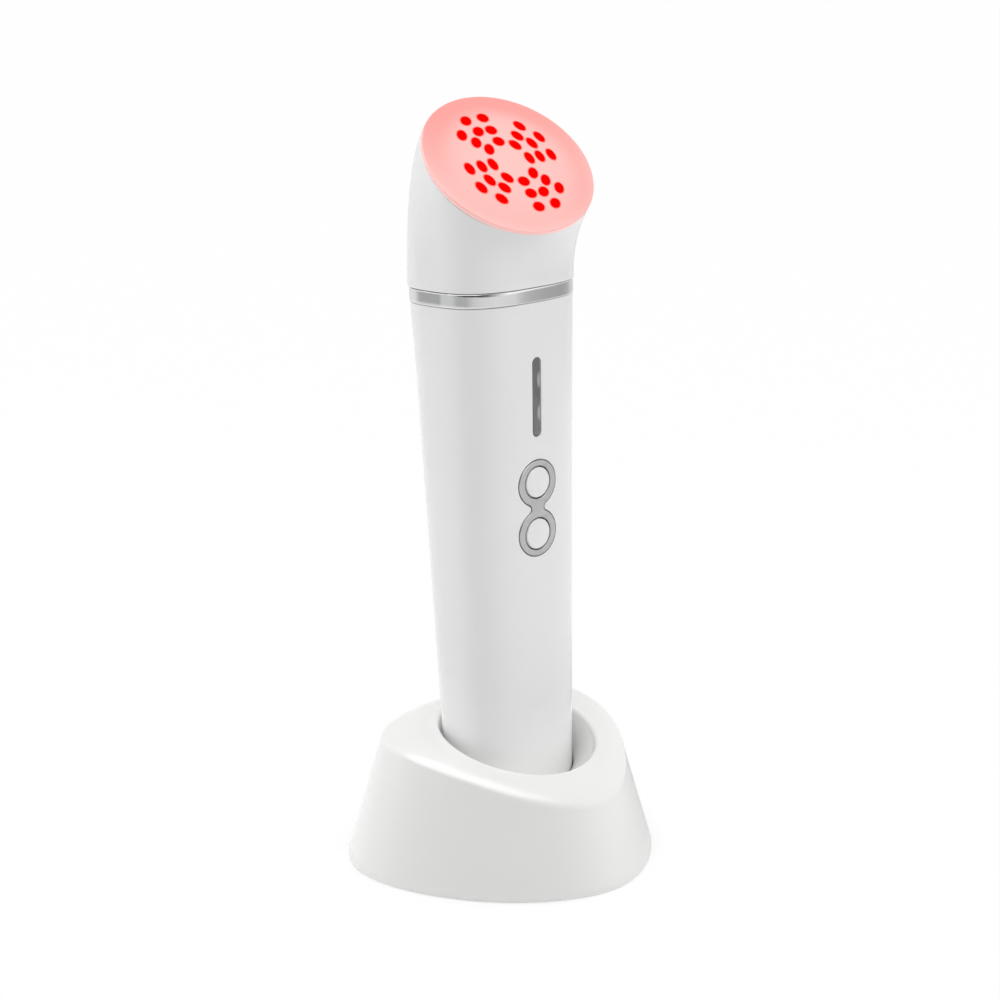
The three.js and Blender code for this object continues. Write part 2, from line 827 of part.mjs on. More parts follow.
function headShell() {
  const outside = stack([...headRings(0, headSteps).slice(0, -1), flareRing(rimSeam)]);
  const insideRings = headRings(headWall, headInsideSteps);
  const mouth = insideRings[0].map((point) => point.clone().setZ(point.z - cutPast));
  const ledgeLow = ledgeTop - ledgeThick;
  const aboveLedge = box(2 * rimWidth, 2 * rimHeight, rimHeight, 0, 0, ledgeLow + half(rimHeight));
  const hollow = cut(stack([mouth, ...insideRings]), inFace(aboveLedge));
  const pocket = inFace(stack([faceOval(lensInset - gap, ledgeTop), faceOval(lensInset - gap, cutPast)]));
  const seat = inFace(post(ledgeHoleRadius, moduleTop(), cutPast, 0, 0, roundSteps));
  const lipHole = inFace(post(boardLipRadius, ledgeLow - cutPast, cutPast, 0, 0, boreSteps));
  const bossLow = sinkTop() + gap;
  const bossHigh = ledgeLow + cutPast;
  const screwXs = [-sinkScrewX, sinkScrewX];
  const bosses = screwXs.map((x) => inFace(post(sinkBossRadius, bossLow, bossHigh, x, 0)));
  const holes = screwXs.map((x) =>
    inFace(post(screwShankRadius + screwGap, bossLow - cutPast, bossHigh, x, 0)));
  return cut(join(cut(outside, hollow, pocket, seat, lipHole), ...bosses), ...holes);
}

// Heights in the face's frame, counted down from the rim
const ledBoardTop = () => ledgeTop - gap;
const moduleTop = () => ledBoardTop() - ledBoardThick - gap;
const sinkTop = () => moduleTop() - moduleThick - gap;

// Lens: a plug in the head's pocket under a disc that carries the head's flare up to the rim,
// with a rounded edge and a slightly domed front. It is made in the handset's frame.
function treatmentLens() {
  const seam = rimSeam + gap;
  const faceRings = (rings) => rings.map((ring) => ring.map((point) => point.applyMatrix4(faceMatrix())));
  const roundRings = [0, half(1), 1].map((share) => {
    const turn = share * Math.PI / 2;
    return faceOval(lensRound * (1 - Math.cos(turn)), lensRound * Math.sin(turn));
  });
  const domeRings = [half(1)].map((share) =>
    faceOval(half(rimHeight) * (1 - share), lensRound + lensDome * (1 - share ** 2)));
  return stack([
    ...faceRings([faceOval(lensInset, lensPlugLow), faceOval(lensInset, seam)]),
    flareRing(seam),
    ...faceRings([...roundRings, ...domeRings]),
  ]);
}

function lensSeal() {
  const low = ledgeTop + gap;
  const high = low + lensSealThick;
  const ring = stack([faceOval(lensInset, low), faceOval(lensInset, high)]);
  return cut(ring, post(ledgeHoleRadius + gap, low - cutPast, high + cutPast, 0, 0, roundSteps));
}

// One diode's place: a radius and a direction round the face, with its long side across it
function ledBlock(radius, direction, low) {
  const rise = ledHeight + half(ledBoardThick);
  const block = box(ledWidth, ledLength, rise, radius, 0, low + half(rise));
  return block.rotateZ(direction);
}

function ledBoard() {
  const top = ledBoardTop();
  const radius = ledgeHoleRadius - gap;
  const disc = post(radius, top - ledBoardThick, top, 0, 0, roundSteps);
  const low = top - half(ledBoardThick);
  const blocks = [];
  for (let group = 0; group < ledGroups; group += 1) {
    const heading = Math.PI - ledGroupTurn - group * (Math.PI * 2 / ledGroups);
    for (const side of [-ledFan, ledFan]) {
      ledSideShares.forEach((share) => blocks.push(ledBlock(share * radius, heading + side, low)));
    }
    ledMiddleShares.forEach((share) => blocks.push(ledBlock(share * radius, heading, low)));
  }
  return join(disc, ...blocks);
}

function thermoelectricModule() {
  const top = moduleTop();
  const low = top - moduleThick;
  const coreSide = moduleSide - 2 * moduleEdge;
  const core = box(coreSide, coreSide, moduleThick - modulePlate, 0, 0, half(top + low));
  const plates = [top - half(modulePlate), low + half(modulePlate)].map((z) =>
    box(moduleSide, moduleSide, modulePlate, 0, 0, z));
  return join(core, ...plates);
}

// Heat sink: a plate with fins on its back and an ear at each side
function heatSink() {
  const top = sinkTop();
  const low = top - sinkBase;
  const plate = box(sinkWidth, sinkHeight, sinkBase, 0, 0, half(top + low));
  const ears = box(2 * sinkEarReach, sinkEarHeight, sinkBase, 0, 0, half(top + low));
  const pitch = (sinkWidth - finThick) / (finCount - 1);
  const fins = Array.from({ length: finCount }, (_, index) =>
    box(finThick, sinkHeight, finDepth + half(sinkBase), index * pitch - half(sinkWidth - finThick), 0,
      low - half(finDepth) + sinkBase / 4));
  const holes = [-sinkScrewX, sinkScrewX].map((x) =>
    post(screwShankRadius + screwGap, low - cutPast, top + cutPast, x, 0));
  return cut(join(plate, ears, ...fins), ...holes);
}

// Stand outline: the curve whose tangents lie at the given distances from its centre
function outlinePoint(outline, turn, inset, z) {
  const wave = outline.waves.reduce((sum, [count, size]) => sum + size * Math.cos(count * turn), 0);
  const swing = outline.waves.reduce((sum, [count, size]) => sum - count * size * Math.sin(count * turn), 0);
  const reach = outline.mean + wave - inset;
  return new THREE.Vector3(
    reach * Math.sin(turn) + swing * Math.cos(turn),
    outline.centreY - reach * Math.cos(turn) + swing * Math.sin(turn),
    z,
  );
}

// Crease between the stand's wall and its top, which rises to the back and at both sides
function creasePoint(turn, inset) {
  const point = outlinePoint(standCrease, turn, inset, 0);
  const bearing = Math.atan2(point.x, standCrease.centreY - point.y);
  const saddle = creaseSaddle * Math.cos(2 * bearing) + creaseThird * Math.cos(3 * bearing);
  return point.setZ(creaseHeight + creaseSlope * point.y + saddle);
}

function wallPoint(turn, inset, z) {
  const foot = outlinePoint(standFoot, turn, inset, 0);
  const crease = creasePoint(turn, inset);
  return foot.lerp(crease, z / crease.z).setZ(z);
}

function lipPoint(turn, grow, drop) {
  const radius = lipRadius + grow;
  const y = lipCentreY - radius * Math.cos(turn);
  const z = lipHeight + lipSlope * y + lipSaddle * Math.cos(2 * turn) - drop;
  return new THREE.Vector3(radius * Math.sin(turn), y, z);
}

// Point round the handset's foot, in the stand's frame
function wellPoint(turn, margin, height) {
  const size = barrelSize(0);
  const point = ovalPoint(
    turn - Math.PI / 2,
    size.width + margin,
    size.front + margin,
    size.back + margin,
    barrelPower,
    height,
  );
  return point.applyMatrix4(handsetMatrix());
}

function handsetGroup() {
  const group = new THREE.Group();
  group.position.set(0, handsetFootY, handsetFootZ);
  group.rotation.x = -handsetLean;
  return group;
}

function handsetMatrix() {
  const group = handsetGroup();
  group.updateMatrix();
  return group.matrix;
}

const standRing = (place) => turns.map(place);

// Outside of the stand from its foot to the lip of the well
function standOutside() {
  const below = (turn) => {
    const crease = creasePoint(turn, 0);
    return wallPoint(turn, 0, crease.z - creaseRound);
  };
  const beyond = (turn) => {
    const crease = creasePoint(turn, 0);
    const lip = lipPoint(turn, lipRound, 0);
    return crease.lerp(lip, creaseRound / crease.distanceTo(lip));
  };
  const rounded = (share) => (turn) =>
    new THREE.QuadraticBezierCurve3(below(turn), creasePoint(turn, 0), beyond(turn)).getPoint(share);
  const top = (share) => (turn) => {
    const point = beyond(turn).lerp(lipPoint(turn, lipRound, 0), share);
    return point.setZ(point.z + topBulge * 4 * share * (1 - share));
  };
  return [
    standRing((turn) => wallPoint(turn, shellRound, shellLow)),
    standRing((turn) => wallPoint(turn, 0, shellLow + shellRound)),
    standRing(below),
    ...[1 / 3, 2 / 3].map((share) => standRing(rounded(share))),
    standRing(beyond),
    ...[half(1), 1].map((share) => standRing(top(share))),
  ];
}

// Stand shell: the outside, the round well that narrows to the handset's foot, and the inside
function standShell() {
  const outside = standOutside();
  const body = tube([
    ...outside,
    standRing((turn) => lipPoint(turn, lipRound * 0.3, lipRound * 0.3)),
    standRing((turn) => lipPoint(turn, 0, lipRound)),
    standRing((turn) => wellPoint(turn, wellClear, wellStraight)),
    standRing((turn) => wellPoint(turn, wellClear, wellFloor)),
    standRing((turn) => wellPoint(turn, wellClear + wellFlangeReach, wellFloor)),
    standRing((turn) => wellPoint(turn, wellClear + wellFlangeReach, wellFlangeTop)),
    standRing((turn) => wellPoint(turn, wellClear + wellWall, wellStraight)),
    standRing((turn) => lipPoint(turn, standWall, lipRound + standWall)),
    standRing((turn) => creasePoint(turn, standWall + half(creaseRound)).add(new THREE.Vector3(0, 0, -standWall))),
    standRing((turn) => wallPoint(turn, standWall, creasePoint(turn, 0).z - 2 * creaseRound)),
    standRing((turn) => wallPoint(turn, standWall, shellLow)),
  ]);
  const filled = stack(outside);
  const postTop = lipHeight;
  const posts = postPlaces.map(([x, y]) => overlap(post(postRadius, plateTop + gap, postTop, x, y), filled));
  const postHoles = postPlaces.map(([x, y]) =>
    post(screwShankRadius + screwGap, 0, postHoleTop, x, y));
  const matrix = handsetMatrix();
  const blockHoles = [-blockScrewX, blockScrewX].map((x) =>
    post(screwShankRadius + screwGap, wellFloor - cutPast, blockScrewTop + gap, x, 0).applyMatrix4(matrix));
  return cut(join(body, ...posts), ...postHoles, ...blockHoles, inletOpening());
}

function inletOpening() {
  const shape = stadium(inletHeight + 2 * gap, inletWidth + 2 * gap);
  const opening = slab(shape, -inletBack() - 4 * cutPast, -inletFront());
  return opening.rotateZ(Math.PI / 2).rotateX(Math.PI / 2).translate(0, 0, inletZ());
}

const inletBack = () => wallPoint(Math.PI, 0, inletZ()).y - inletSunk;
const inletFront = () => inletBack() - inletLength;
const chargeBoardBack = () => inletFront() + inletSeat;
const chargeScrewPlaces = () => [chargeBoardFront + chargeScrewFront, chargeBoardBack() - chargeScrewBack];
const inletZ = () => chargeBoardLow + chargeBoardThick + gap + half(inletHeight);

function basePlate() {
  const plate = stack([plateLow, plateTop].map((z) => standRing((turn) => wallPoint(turn, standWall + gap, z))));
  const bossTop = chargeBoardLow - gap;
  const bosses = chargeScrewPlaces().map((y) => post(frameBossRadius, half(plateTop + plateLow), bossTop, 0, y));
  const footCuts = footPlaces.map(([x, y]) => post(footRadius + gap, 0, footTop + gap, x, y, turnSteps));
  const screwCuts = postPlaces.flatMap(([x, y]) => [
    post(screwHeadRadius + screwGap, 0, plateLow + screwHeadHeight, x, y, turnSteps),
    post(screwShankRadius + screwGap, 0, plateTop + cutPast, x, y),
  ]);
  const boardCuts = chargeScrewPlaces().map((y) =>
    post(screwShankRadius + screwGap, half(plateLow + plateTop), bossTop + cutPast, 0, y));
  return cut(join(plate, ...bosses), ...footCuts, ...screwCuts, ...boardCuts);
}

function rubberFoot() {
  return turned([
    [0, footDish],
    [footRadius * 0.6, footDish],
    [footRadius * 0.7, 0],
    [footRadius - footDish, 0],
    [footRadius, footDish],
    [footRadius, footTop],
    [0, footTop],
  ], turnSteps);
}

// Contact block: a plate under the well with a plug that makes the well's floor
function contactBlock() {
  const ovalAt = (margin, z) => barrelRing(0, -margin, z);
  const plateMargin = wellClear + wellFlangeReach - blockPlateEdge;
  const plugMargin = wellClear - gap;
  const block = stack([
    ovalAt(plateMargin, blockPlateLow),
    ovalAt(plateMargin, blockPlateTop),
    ovalAt(plugMargin, blockPlateTop),
    ovalAt(plugMargin, plugTop),
  ]);
  const pinHoles = [-padX, padX].map((x) =>
    post(pinBarrelRadius + gap, blockPlateLow - cutPast, plugTop + cutPast, x, 0, turnSteps));
  const screwHoles = [-blockScrewX, blockScrewX].map((x) =>
    post(screwShankRadius + screwGap, blockPlateLow - cutPast, plugTop + cutPast, x, 0));
  return cut(block, ...pinHoles, ...screwHoles);
}

function pinBarrel() {
  const floor = pinBarrelLow + pinBarrelFloor;
  return turned([
    [0, pinBarrelLow],
    [pinBarrelRadius, pinBarrelLow],
    [pinBarrelRadius, pinBarrelTop],
    [pinRadius + gap, pinBarrelTop],
    [pinRadius + gap, floor],
    [0, floor],
  ], 12);
}

function chargePin() {
  return turned([
    [0, pinLow],
    [pinRadius, pinLow],
    [pinRadius, pinTop - half(pinRadius)],
    [pinRadius * 0.8, pinTop - pinRadius / 8],
    [0, pinTop],
  ], 12);
}

function chargingBoard() {
  const length = chargeBoardBack() - chargeBoardFront;
  const top = chargeBoardLow + chargeBoardThick;
  const board = slab(roundedRectangle(chargeBoardWidth, length, boardCorner), chargeBoardLow, top, 2);
  board.translate(0, half(chargeBoardFront + chargeBoardBack()), 0);
  const chipRise = chipHeight + half(chargeBoardThick);
  const chipY = inletFront() - chipSide;
  const chip = box(chipSide, chipSide, chipRise, half(chipSide), chipY, top + chipHeight - half(chipRise));
  const holes = chargeScrewPlaces().map((y) =>
    post(screwShankRadius + screwGap, chargeBoardLow - cutPast, top + cutPast, 0, y));
  return cut(join(board, chip), ...holes);
}

// Inlet: a flat metal sleeve with a tongue, open to the back
function powerInlet() {
  const sleeve = slab(stadium(inletHeight, inletWidth), 0, inletLength);
  const boreShape = stadium(inletHeight - 2 * inletWall, inletWidth - 2 * inletWall);
  const bore = slab(boreShape, inletFloor, inletLength + cutPast);
  const tongueLength = inletLength - inletTongueShort;
  const tongue = box(inletTongueThick, inletTongueWidth, tongueLength, 0, 0, half(tongueLength));
  const inlet = join(cut(sleeve, bore), tongue);
  return inlet.rotateZ(Math.PI / 2).rotateX(-Math.PI / 2).translate(0, inletFront(), inletZ());
}

// Cable along a smooth line through a few points
function cable(points) {
  const path = new THREE.CatmullRomCurve3(points.map(([x, y, z]) => new THREE.Vector3(x, y, z)));
  const shape = new THREE.Shape();
  shape.absarc(0, 0, cableRadius, 0, Math.PI * 2);
  return new THREE.ExtrudeGeometry(shape, {
    steps: cableSteps,
    bevelEnabled: false,
    extrudePath: path,
    curveSegments: cableHalfSides,
  });
}

// From the main board's top end, past the motor, to the hot and cold module
function headCable() {
  const boardEnd = panelHeight + boardHigh;
  const startY = boardTop + boardThick + gap + cableRadius - barrelSize(boardEnd).front;
  const moduleY = faceCentreY - moduleSide * 0.1;
  return cable([
    ...headCableRise.map(([share, back, up]) => [share * barrelTopWidth, startY + back, boardEnd + up]),
    ...headCableEnd.map(([out, back, down]) => [half(sinkWidth) + out, moduleY + back, faceCentreZ - down]),
  ]);
}

// From the battery's top end to the main board
function batteryCable() {
  const batteryHigh = panelHeight + batteryLow + batteryLength;
  const cellY = spineBackY(batteryHigh) + gap + half(batteryThick);
  const room = motorLow - batteryHigh;
  return cable(batteryCableRise.map(([across, forward, up]) =>
    [across * batteryWidth, cellY - forward * batteryThick, batteryHigh + 2 * gap + up * room]));
}

// Assembly
const product = new THREE.Group();
const handset = handsetGroup();
const dock = handsetGroup();
const panel = panelGroup();
const face = faceGroup();
product.add(handset, dock);
handset.add(panel, face);

function add(parent, name, geometry, material, x = 0, y = 0, z = 0) {
  const mesh = new THREE.Mesh(geometry, material);
  mesh.name = name;
  mesh.position.set(x, y, z);
  parent.add(mesh);
  return mesh;
}

const sides = [["left", -1], ["right", 1]];

add(handset, "handle_shell", handleShell(), whitePlastic());
add(handset, "head_shell", headShell(), whitePlastic());
add(handset, "chrome_ring", chromeRing(), chrome());
add(handset, "neck_seal", neckSeal(), rubber());
add(handset, "bottom_cap", bottomCap(), whitePlastic());
add(handset, "inner_frame", innerFrame(), darkPlastic());
add(handset, "vibration_motor", vibrationMotor(), steel(), 0, motorY, 0);
add(handset, "motor_weight", motorWeight(), steel(), 0, motorY, 0);
add(handset, "head_cable", headCable(), darkPlastic());
add(handset, "battery_cable", batteryCable(), darkPlastic());

add(handset, "treatment_lens", treatmentLens(), plain(0xffa6a6, 0.15, 0));
add(face, "lens_seal", lensSeal(), rubber());
add(face, "led_board", ledBoard(), plain(0xf4e4e4, 0.4, 0));
add(face, "thermoelectric_module", thermoelectricModule(), ceramic());
add(face, "heat_sink", heatSink(), aluminium());

add(panel, "button_bezel", buttonBezel(), chrome());
add(panel, "power_button", panelKey(), whitePlastic(), 0, half(keySpacing), 0);
add(panel, "mode_button", panelKey(), whitePlastic(), 0, -half(keySpacing), 0);
add(panel, "power_switch", pressSwitch(), darkPlastic(), 0, half(keySpacing), 0);
add(panel, "mode_switch", pressSwitch(), darkPlastic(), 0, -half(keySpacing), 0);
add(panel, "indicator_window", indicatorWindow(), plain(0x4a4c50, 0.15, 0), 0, windowAbove, 0);
add(panel, "main_board", mainBoard(), circuitBoard());
add(panel, "battery", battery(), plain(0x3c6fae, 0.5, 0));

lampOffsets.forEach((offset, index) => {
  const lamp = box(lampWidth, lampLength, lampHeight, 0, 0, gap + half(lampHeight) - boardTop);
  add(panel, `indicator_lamp_${index + 1}`, lamp, ceramic(), 0, windowAbove + offset, 0);
});

[["upper", boardScrewHigh], ["lower", boardScrewLow]].forEach(([name, y]) => {
  const reach = boardThick + frameTop - boardTop - boardThick + frameThick;
  add(panel, `board_screw_${name}`, screw(reach), steel(), 0, y, gap - boardTop);
});

for (const [name, sign] of sides) {
  const sinkLow = sinkTop() - sinkBase - gap;
  const sinkScrew = screw(sinkBase + gap + sinkScrewReach).rotateX(Math.PI);
  add(face, `heat_sink_screw_${name}`, sinkScrew, steel(), sign * sinkScrewX, 0, sinkLow);
  const capHead = capScrewSink - gap;
  const capScrew = screw(capScrewEnd - capHead).rotateX(Math.PI);
  add(handset, `cap_screw_${name}`, capScrew, steel(), sign * capScrewX, 0, capHead);
  add(handset, `charge_pad_${name}`, chargePad(), brass(), sign * padX, 0, 0);
}

add(product, "stand_shell", standShell(), whitePlastic());
add(product, "base_plate", basePlate(), whitePlastic());
add(product, "charging_board", chargingBoard(), circuitBoard());
add(product, "power_inlet", powerInlet(), steel());
add(dock, "contact_block", contactBlock(), whitePlastic());

for (const [name, sign] of sides) {
  add(dock, `pin_barrel_${name}`, pinBarrel(), brass(), sign * padX, 0, 0);
  add(dock, `charge_pin_${name}`, chargePin(), brass(), sign * padX, 0, 0);
  const blockHead = blockPlateLow - gap;
  const blockScrew = screw(blockScrewTop - blockHead).rotateX(Math.PI);
  add(dock, `block_screw_${name}`, blockScrew, steel(), sign * blockScrewX, 0, blockHead);
}

chargeScrewPlaces().forEach((y, index) => {
  const head = chargeBoardLow + chargeBoardThick + gap;
  add(product, `charging_board_screw_${index + 1}`, screw(head - plateTop), steel(), 0, y, head);
});

footPlaces.forEach(([x, y], index) => {
  add(product, `rubber_foot_${index + 1}`, rubberFoot(), rubber(), x, y, 0);
});

postPlaces.forEach(([x, y], index) => {
  const head = plateLow + screwHeadHeight - gap;
  const baseScrew = screw(postScrewTop - head).rotateX(Math.PI);
  add(product, `base_screw_${index + 1}`, baseScrew, steel(), x, y, head);
});

export default product;
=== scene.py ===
# %% [markdown]
# A facial massager in its charging stand
#
# The object is a smooth white handset with a slanted pink face of little red lights, standing in a
# low white stand. Its solids are made already, so this script loads them first. Every piece that is
# drawn again below rides on one of those solids' bodies, so the handset still lifts out of the stand
# and the keys still press. One way to start would be to draw everything anew. Loading the solids
# first is better, because each new piece can be checked against the solid that it stands for.

import math

import bpy
import numpy as np
from mathutils import Matrix, Vector


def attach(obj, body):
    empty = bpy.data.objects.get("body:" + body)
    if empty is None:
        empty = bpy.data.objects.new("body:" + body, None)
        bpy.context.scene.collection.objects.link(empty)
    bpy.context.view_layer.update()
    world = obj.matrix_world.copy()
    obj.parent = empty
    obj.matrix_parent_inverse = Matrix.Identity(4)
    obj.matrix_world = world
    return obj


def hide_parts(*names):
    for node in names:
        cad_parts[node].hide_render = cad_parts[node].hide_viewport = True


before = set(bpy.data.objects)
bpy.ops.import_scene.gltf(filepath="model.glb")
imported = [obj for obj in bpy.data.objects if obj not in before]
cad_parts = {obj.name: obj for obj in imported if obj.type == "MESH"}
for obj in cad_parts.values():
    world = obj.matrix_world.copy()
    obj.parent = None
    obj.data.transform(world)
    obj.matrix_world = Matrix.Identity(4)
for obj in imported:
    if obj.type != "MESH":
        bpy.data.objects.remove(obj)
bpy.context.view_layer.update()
print("solids:", len(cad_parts))

# %% [markdown]
# The camera
#
# The photograph looks at the handset from its front left and a little above. A camera can be put by
# hand and nudged, but here its angles and distance were worked out from the rows of lights, the keys
# and the stand's outline. So the script aims it from a target point, two angles and a distance.

# %% Aim the camera
view_turn, view_rise = math.radians(-42.02), math.radians(16.54)
view_distance = 0.61817
view_target = Vector((0, 0, 0.09819))


def new_object(name, data):
    thing = bpy.data.objects.new(name, data)
    bpy.context.scene.collection.objects.link(thing)
    return thing


to_camera = Vector((
    math.sin(view_turn) * math.cos(view_rise),
    -math.cos(view_turn) * math.cos(view_rise),
    math.sin(view_rise),
))
camera_data = bpy.data.cameras.new("portrait_camera")
camera_data.lens = 82.8
camera_data.sensor_width = 36
camera_data.clip_start = 0.01
camera = new_object("portrait_camera", camera_data)
camera.location = view_target + to_camera * view_distance
camera.rotation_euler = to_camera.to_track_quat("Z", "Y").to_euler()
bpy.context.scene.camera = camera
bpy.context.scene.view_settings.view_transform = "Standard"
print("camera stands at", [round(value, 3) for value in camera.location])

# %% [markdown]
# Sizes, and the frames that the pieces are drawn in
#
# A designer draws the handset upright and only then leans it into the stand. The same is done here:
# the barrel and the head are drawn along a straight axis, the keys on the flat front panel, and the
# lights on the slanted face, all in millimetres. A matrix for each of these frames puts the drawing
# in its place. It would also work to type in final positions, but a slanted oval is much harder to
# read that way.

# %% Frames of the handset, the panel and the face
MM = 0.001
barrel_length = 142.2
foot_width, foot_depth = 36.3, 24.4
top_width, top_depth = 42.0, 34.0
flat_power = 2.8
swell_below, swell_length, swell_most = 24, 36, 0.9
panel_height = 87.1
handset_foot, handset_lean = (0, -4.4, 11.5), math.radians(-3)
face_middle, face_tilt = (0, -8.215, 177.25), math.radians(48.6)


def swell(height):
    """How much fuller the barrel's back gets towards the ring."""
    share = min(max((height - barrel_length + swell_below) / swell_length, 0), 1)
    return swell_most * share * share * (3 - 2 * share)


def barrel_size(height):
    """Half the width, and the reach to the front and to the back."""
    share = height / barrel_length
    front = (foot_depth + (top_depth - foot_depth) * share) / 2
    return (foot_width + (top_width - foot_width) * share) / 2, front, front + swell(height)


panel_slope = math.atan((top_depth - foot_depth) / 2 / barrel_length)
handset_frame = Matrix.Translation(handset_foot) @ Matrix.Rotation(handset_lean, 4, "X")
panel_frame = handset_frame @ Matrix.Translation((0, -barrel_size(panel_height)[1], panel_height))
panel_frame = panel_frame @ Matrix.Rotation(math.pi / 2 + panel_slope, 4, "X")
face_in_handset = Matrix.Translation(face_middle) @ Matrix.Rotation(face_tilt, 4, "X")
face_frame = handset_frame @ face_in_handset
stand_frame = Matrix.Identity(4)
print("panel leans", round(math.degrees(panel_slope), 2), "degrees off the barrel's axis")

# %% [markdown]
# Rings and skins
#
# Barrel, head, stand, lens and ring are all shells whose outline changes smoothly from end to end.
# They could be pushed out of a cylinder by hand, or made with a subdivision surface over a rough
# cage. Here each one is a list of rings of points with a skin stretched over them, because a ring
# can be computed from the real piece's measured outline, so the surface is exact at any fineness.

# %% Draw rings
ROUND = 144
turns = np.arange(ROUND) / ROUND * 2 * math.pi


def oval(width, front, back, power, height, inset=0.0, angles=turns):
    """A ring whose sides get flatter as the power grows. A power of 2 gives an ellipse."""
    across, along = np.cos(angles), np.sin(angles)
    depth = np.where(along < 0, front - inset, back - inset)
    total = np.abs(across / (width - inset)) ** power + np.abs(along / depth) ** power
    reach = total ** (-1 / power)
    return np.stack([reach * across, reach * along, np.full(len(angles), float(height))], axis=1)


def moved(ring, matrix):
    return ring @ np.array(matrix.to_3x3()).T + np.array(matrix.translation)


def bent(start, corner, end, share):
    """A point, or ring, on the curve from start to end that a corner pulls out."""
    return start * (1 - share) ** 2 + corner * 2 * share * (1 - share) + end * share**2


def rounded_edge(start, corner, end, steps=5):
    return [bent(start, corner, end, step / steps) for step in range(steps + 1)]


print("a full ring has", ROUND, "points")

# %% Stretch a skin over rings
def smooth_shade(mesh, angle=30):
    mesh.shade_smooth()
    mesh.set_sharp_from_angle(angle=math.radians(angle))


def mesh_from(name, points, faces, smooth_angle=30):
    mesh = bpy.data.meshes.new(name)
    mesh.from_pydata([tuple(point) for point in np.asarray(points) * MM], [], faces)
    mesh.update()
    smooth_shade(mesh, smooth_angle)
    return mesh


def add_piece(name, mesh, place=stand_frame):
    piece = new_object(name, mesh)
    piece.matrix_world = Matrix.Translation(place.translation * MM) @ place.to_3x3().to_4x4()
    return piece


def skin_faces(count, ring_count, first=0, tube=False):
    """Faces over rings of count points. A tube meets itself, and any other skin is capped."""
    faces = []
    for band in range(ring_count if tube else ring_count - 1):
        low, high = first + band * count, first + (band + 1) % ring_count * count
        for step in range(count):
            after = (step + 1) % count
            faces.append((low + step, low + after, high + after, high + step))
    if not tube:
        last = first + (ring_count - 1) * count
        faces.append(tuple(reversed(range(first, first + count))))
        faces.append(tuple(range(last, last + count)))
    return faces


def skin(name, rings, place=stand_frame, tube=False):
    points = np.concatenate(rings)
    faces = skin_faces(len(rings[0]), len(rings), tube=tube)
    piece = add_piece(name, mesh_from(name, points, faces), place)
    print(f"{name}: {len(points)} points in {len(rings)} rings")
    return piece


print("the band between two full rings has", len(skin_faces(ROUND, 2)) - 2, "faces")

# %% [markdown]
# Finishes
#
# A moulded or plated surface never looks like one flat colour. Its tone drifts a little, its gloss
# is uneven, and close up it has a fine grain. Painted image maps could hold that detail, but noise
# in the material's nodes needs no unwrapping and stays sharp at any size. Three small helpers add
# those layers to a plain shader, and every finish below is a mix of them. The first few helpers
# only save typing: each one adds a node, and feeds it plain values or other nodes' outputs.

# %% Helpers that add nodes
def feed(owner, source, socket):
    """Links an output to the socket, or types a plain number, vector or colour into it."""
    if isinstance(source, bpy.types.NodeSocket):
        owner.node_tree.links.new(source, socket)
    elif socket.type == "RGBA":
        socket.default_value = (*source, 1)
    else:
        socket.default_value = source


def fill_in(owner, node, values):
    for key, value in values.items():
        feed(owner, value, node.inputs[key.replace("_", " ")])


def add_node(owner, kind, **values):
    node = owner.node_tree.nodes.new("ShaderNode" + kind)
    fill_in(owner, node, values)
    return node


def between(owner, source, low, high, start=0.0, end=1.0, soft=False):
    """Turns low to high into start to end, and holds still outside them."""
    spread = add_node(
        owner, "MapRange", Value=source, From_Min=low, From_Max=high, To_Min=start, To_Max=end)
    if soft:
        spread.interpolation_type = "SMOOTHSTEP"
    return spread.outputs["Result"]


def tone_ramp(owner, source, stops):
    ramp = add_node(owner, "ValToRGB", Fac=source)
    elements = ramp.color_ramp.elements
    while len(elements) < len(stops):
        elements.new(0.5)
    for element, (position, color) in zip(elements, stops):
        element.position = position
        element.color = (*color, 1)
    return ramp.outputs["Color"]


print("node helpers are ready")

# %% Helpers for layered finishes
def shade(finish, **values):
    fill_in(finish, finish.node_tree.nodes["Principled BSDF"], values)


def new_finish(name, color, roughness, metallic=0.0, **more):
    finish = bpy.data.materials.new(name)
    finish.use_nodes = True
    finish.diffuse_color = (*color, 1)
    shade(finish, Base_Color=color, Roughness=roughness, Metallic=metallic, **more)
    return finish


def noise_in(finish, scale, detail=3.0, stretch=(1, 1, 1)):
    place = add_node(finish, "TexCoord").outputs["Object"]
    spread = add_node(finish, "Mapping", Vector=place, Scale=stretch).outputs["Vector"]
    return add_node(finish, "TexNoise", Vector=spread, Scale=scale, Detail=detail).outputs["Fac"]


def drifting_tone(finish, dark, light, scale, stretch=(1, 1, 1)):
    drift = noise_in(finish, scale, stretch=stretch)
    tone = tone_ramp(finish, drift, [(0.3, dark), (0.7, light)])
    shade(finish, Base_Color=tone)
    return tone


def uneven_gloss(finish, low, high, scale, stretch=(1, 1, 1)):
    patches = noise_in(finish, scale, 4.0, stretch)
    shade(finish, Roughness=between(finish, patches, 0.0, 1.0, low, high))


def fine_grain(finish, scale, depth, strength=0.4, stretch=(1, 1, 1)):
    grain = noise_in(finish, scale, 2.0, stretch)
    bump = add_node(finish, "Bump", Strength=strength, Distance=depth, Height=grain)
    shade(finish, Normal=bump.outputs["Normal"])


redrawn = set()


def dress(piece, finish, body, nodes=()):
    """Puts the finish on, and ties the piece to a body and to its solids."""
    piece.data.materials.clear()
    piece.data.materials.append(finish)
    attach(piece, body)
    if nodes:
        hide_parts(*nodes)
    redrawn.update(nodes)


print("finish helpers are ready")

# %% [markdown]
# White gloss plastic
#
# Handset and stand are injection-moulded and polished, so they are nearly white with a soft gloss.
# A pure white would glow in every light and hide the form. A slightly grey white with a thin clear
# coat keeps the gentle shading that shows the barrel's flattened sides.

